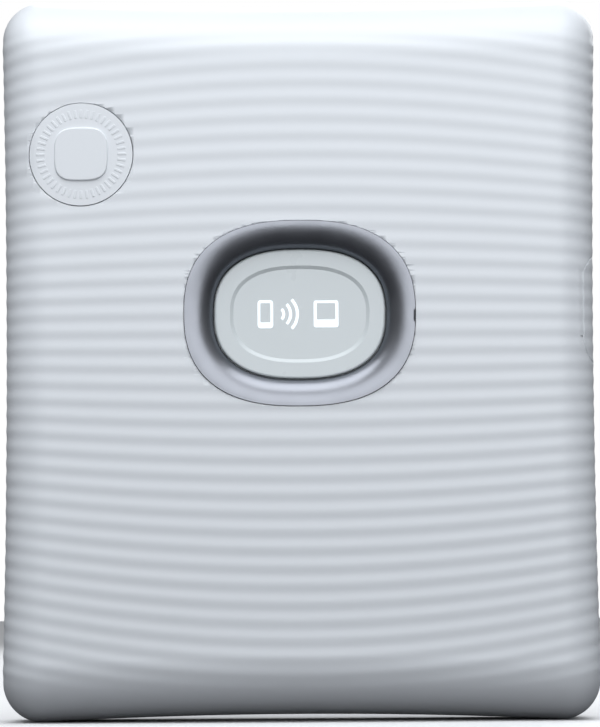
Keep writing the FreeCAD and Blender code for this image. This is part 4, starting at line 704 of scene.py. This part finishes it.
def smooth(mesh):
    """Smooth faces, with crisp edges where two faces meet sharply."""
    mesh.shade_smooth()
    mesh.set_sharp_from_angle(angle=SHARP)


def stand_in(piece, node_name, body):
    """The piece replaces a CAD node, rides on its body and takes its finish."""
    paint(piece, slot_of[node_name])
    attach(piece, body)
    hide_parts(node_name)


# %% The four ribbed pieces
groove = groove_ring()
RIBBED = {"front_shell": "case", "rear_shell": "case", "film_door": "film_door", "door_latch": "door_latch"}
GROOVED = ("front_shell", "rear_shell")
for node_name, body in RIBBED.items():
    piece = new_object(node_name + "_ribbed", merged_copy(node_name))
    combine(piece, ribbed, "INTERSECT")
    if node_name in GROOVED:
        combine(piece, groove, "DIFFERENCE")
    smooth(piece.data)
    stand_in(piece, node_name, body)
    print(piece.name, len(piece.data.polygons), "faces")
bpy.data.objects.remove(ribbed)
bpy.data.objects.remove(groove)

# %% [markdown]
# ## The metal ring
# The ring is satin metal, so its bowl reads through soft reflections. The solid is already the right
# shape, and only its flat facets show, so a merged copy gets smooth faces. The bowl has painted shade:
# its colour is laid darker towards the button, for the shade and dark reflections of the steep inner wall.
# How far each point has sunk below the lip drives that painted shade, so it follows the piece from every
# side.

# %% The ring
RING_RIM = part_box("bezel_ring")[0].y
# Where the painted shade of the bowl begins below the lip, and how deep it is full.
RING_LIP, RING_DROP = 0.2 * MM, 2.8 * MM


def ring_painted_shade_finish():
    """Satin metal with painted shade, laid darker as the bowl sinks towards the button."""
    material = finish(
        "ring_metal_painted_shade", (0.29, 0.30, 0.33), 0.33, METAL, drift=0.03, grain=0.000003, scale=16000.0
    )
    tree = material.node_tree
    place = add_node(tree, "ShaderNodeTexCoord").outputs["Object"]
    depth = add_node(tree, "ShaderNodeSeparateXYZ", {0: place}).outputs["Y"]
    painted_shade_mask = add_node(
        tree, "ShaderNodeMapRange",
        {"Value": depth, "From Min": RING_RIM + RING_LIP, "From Max": RING_RIM + RING_DROP},
        interpolation_type="SMOOTHSTEP",
    ).outputs["Result"]
    # Painted shade: the bowl's colour is laid darker towards the button by this mask.
    lay_over(material, painted_shade_mask, (0.10, 0.11, 0.13))
    return material


ring = new_object("bezel_ring_smooth", merged_copy("bezel_ring"))
smooth(ring.data)
stand_in(ring, "bezel_ring", "case")
ring.data.materials[0] = ring_painted_shade_finish()
print("ring lip at", round(RING_RIM / MM, 2), "mm")

# %% [markdown]
# ## The glowing mark
# The button is lit from behind through a mark that says what the machine does: a phone sends a picture
# to a sheet. Flat outlines with round corners are enough, so each is a filled curve that is given a
# little thickness, turned to face the front and sunk into the dish by half of it.

# %% Helpers for flat marks
def front_surface(node_name, x, z):
    """Where a line from the front first meets a CAD node."""
    place = frame["nodes"][node_name].ray_cast(Vector((x, -1, z)), Vector((0, 1, 0)))[1]
    return place.y


def rounded_outline(width, height, radius, steps=6):
    """Corners of a rounded rectangle about the origin, as (x, z)."""
    points = []
    for corner, (sign_x, sign_z) in enumerate(((1, 1), (-1, 1), (-1, -1), (1, -1))):
        middle = (sign_x * (width / 2 - radius), sign_z * (height / 2 - radius))
        for step in range(steps + 1):
            turn = math.pi / 2 * (corner + step / steps)
            points.append((middle[0] + radius * math.cos(turn), middle[1] + radius * math.sin(turn)))
    return points


def arc_outline(radius, width, spread, steps=14):
    """A band of a circle about the origin that opens to the right."""
    turns = np.linspace(-spread, spread, steps)
    outer, inner = radius + width / 2, radius - width / 2
    there = [(outer * math.cos(turn), outer * math.sin(turn)) for turn in turns]
    back = [(inner * math.cos(turn), inner * math.sin(turn)) for turn in turns[::-1]]
    return there + back


def flat_mark(name, outlines, x, y, z, thickness):
    """Filled outlines in millimetres, standing up as a thin plate. One inside another is a hole."""
    curve = bpy.data.curves.new(name, "CURVE")
    curve.dimensions = "2D"
    curve.fill_mode = "BOTH"
    curve.extrude = thickness / 2
    for outline in outlines:
        spline = curve.splines.new("POLY")
        spline.points.add(len(outline) - 1)
        for point, (across, up) in zip(spline.points, outline):
            point.co = (across * MM, up * MM, 0, 1)
        spline.use_cyclic_u = True
    flat = new_object(name, curve)
    mesh = bpy.data.meshes.new_from_object(flat.evaluated_get(bpy.context.evaluated_depsgraph_get()))
    bpy.data.objects.remove(flat)
    for vertex in mesh.vertices:
        across, up, deep = vertex.co
        vertex.co = (x + across, y - deep, z + up)
    return new_object(name, mesh)


def shifted(outline, across, up=0.0):
    """An outline moved sideways and up."""
    return [(x + across, z + up) for x, z in outline]


# %% Light through the button
COLD, WHITE = (0.72, 0.90, 1.0, 1), (1, 1, 1, 1)


def glow_finish():
    """A cold white light, a little uneven where the guide spreads it."""
    material = finish("mark_glow", (0.90, 0.95, 0.98), 0.35, drift=0.02, **{"Emission Strength": 0.55})
    tree = material.node_tree
    place = add_node(tree, "ShaderNodeTexCoord").outputs["Object"]
    cloud = use_group(tree, GRAIN, {"Vector": place, "Scale": 20000.0})["Cloud"]
    light = add_node(tree, "ShaderNodeMix", {0: cloud, 6: COLD, 7: WHITE}, data_type="RGBA")
    tree.links.new(light.outputs[2], tree.nodes["paint"].inputs["Emission Color"])
    return material


button_low, button_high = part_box("power_button")
button_middle = (button_low + button_high) / 2
dish = front_surface("power_button", button_middle.x, button_middle.z)
MARK_THICKNESS = 0.06 * MM
PHONE, PHONE_GLASS, PHONE_ACROSS, GLASS_UP = (2.7, 4.9, 0.55), (1.8, 3.4, 0.15), -6.0, 0.25
SHEET, SHEET_PICTURE, SHEET_ACROSS, PICTURE_UP = (4.3, 4.7, 0.4), (3.3, 2.9, 0.15), 4.6, 0.45
WAVES, WAVE_WIDTH, WAVE_SPREAD, WAVE_ACROSS = (1.3, 2.5, 3.7), 0.5, 0.75, -4.1
outlines = [
    shifted(rounded_outline(*PHONE), PHONE_ACROSS),
    shifted(rounded_outline(*PHONE_GLASS), PHONE_ACROSS, GLASS_UP),
    *[shifted(arc_outline(radius, WAVE_WIDTH, WAVE_SPREAD), WAVE_ACROSS) for radius in WAVES],
    shifted(rounded_outline(*SHEET), SHEET_ACROSS),
    shifted(rounded_outline(*SHEET_PICTURE), SHEET_ACROSS, PICTURE_UP),
]
mark = flat_mark("power_mark", outlines, button_middle.x, dish, button_middle.z, MARK_THICKNESS)
mark.data.materials.append(glow_finish())
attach(mark, "power_button")
print("mark", len(mark.data.polygons), "faces at", round(dish / MM, 2), "mm")

# %% [markdown]
# ## The raised ring of dashes
# A ring of small raised dashes lets a finger find the function button. One dash is repeated around a
# circle, which is a task for instances: the tree puts a bar on each point of a circle, turns it to
# face outwards and makes it real. The count and the sizes stay inputs. The disc is not quite flat, so
# each corner is then set down on it, and a small bevel rounds the bars.

# %% The dash tree
DASHES = {
    "Count": 44,
    "Ring Radius": 7.15 * MM,
    "Dash Length": 1.45 * MM,
    "Dash Width": 0.42 * MM,
    "Dash Height": 0.22 * MM,
}
DASH_PROUD, DASH_ROUND = 0.07 * MM, 0.05 * MM


def dash_tree():
    """Bars that point outwards, spaced evenly round a circle in the front plane."""
    tree, start = geometry_tree("raised_dashes", DASHES)
    size = start.outputs
    circle = add_node(
        tree, "GeometryNodeMeshCircle", {"Vertices": size["Count"], "Radius": size["Ring Radius"]}
    )
    lengths = add_node(
        tree, "ShaderNodeCombineXYZ",
        {"X": size["Dash Length"], "Y": size["Dash Width"], "Z": size["Dash Height"]},
    )
    bar = add_node(tree, "GeometryNodeMeshCube", {"Size": lengths.outputs[0]})
    index = add_node(tree, "GeometryNodeInputIndex").outputs[0]
    turn = calculate(tree, "DIVIDE", calculate(tree, "MULTIPLY", index, math.tau), size["Count"])
    facing = add_node(tree, "ShaderNodeCombineXYZ", {"Z": turn})
    placed = add_node(
        tree, "GeometryNodeInstanceOnPoints",
        {"Points": circle.outputs["Mesh"], "Instance": bar.outputs["Mesh"], "Rotation": facing.outputs[0]},
    )
    close_tree(tree, start, placed.outputs[0])
    return tree


function_low, function_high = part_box("function_button")
function_middle = (function_low + function_high) / 2
seed_mesh = bpy.data.meshes.new("seed")
seed_mesh.from_pydata([(0, 0, 0)], [], [])
seed = new_object("seed", seed_mesh)
dash_values = {**DASHES, "Material": FINISHES["button_plastic"]}
dashes = new_object("function_dashes", grow(dash_tree(), seed, dash_values))
bpy.data.objects.remove(seed)
for vertex in dashes.data.vertices:
    across, up, deep = vertex.co
    x, z = function_middle.x + across, function_middle.z + up
    skin_y = front_surface("function_button", x, z)
    vertex.co = (x, skin_y + DASHES["Dash Height"] / 2 - DASH_PROUD - deep, z)
outward_faces(dashes.data)
soften = dashes.modifiers.new("soften", "BEVEL")
soften.width = DASH_ROUND
soften.segments = 2
smooth(dashes.data)
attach(dashes, "function_button")
print(DASHES["Count"], "dashes,", len(dashes.data.polygons), "faces")
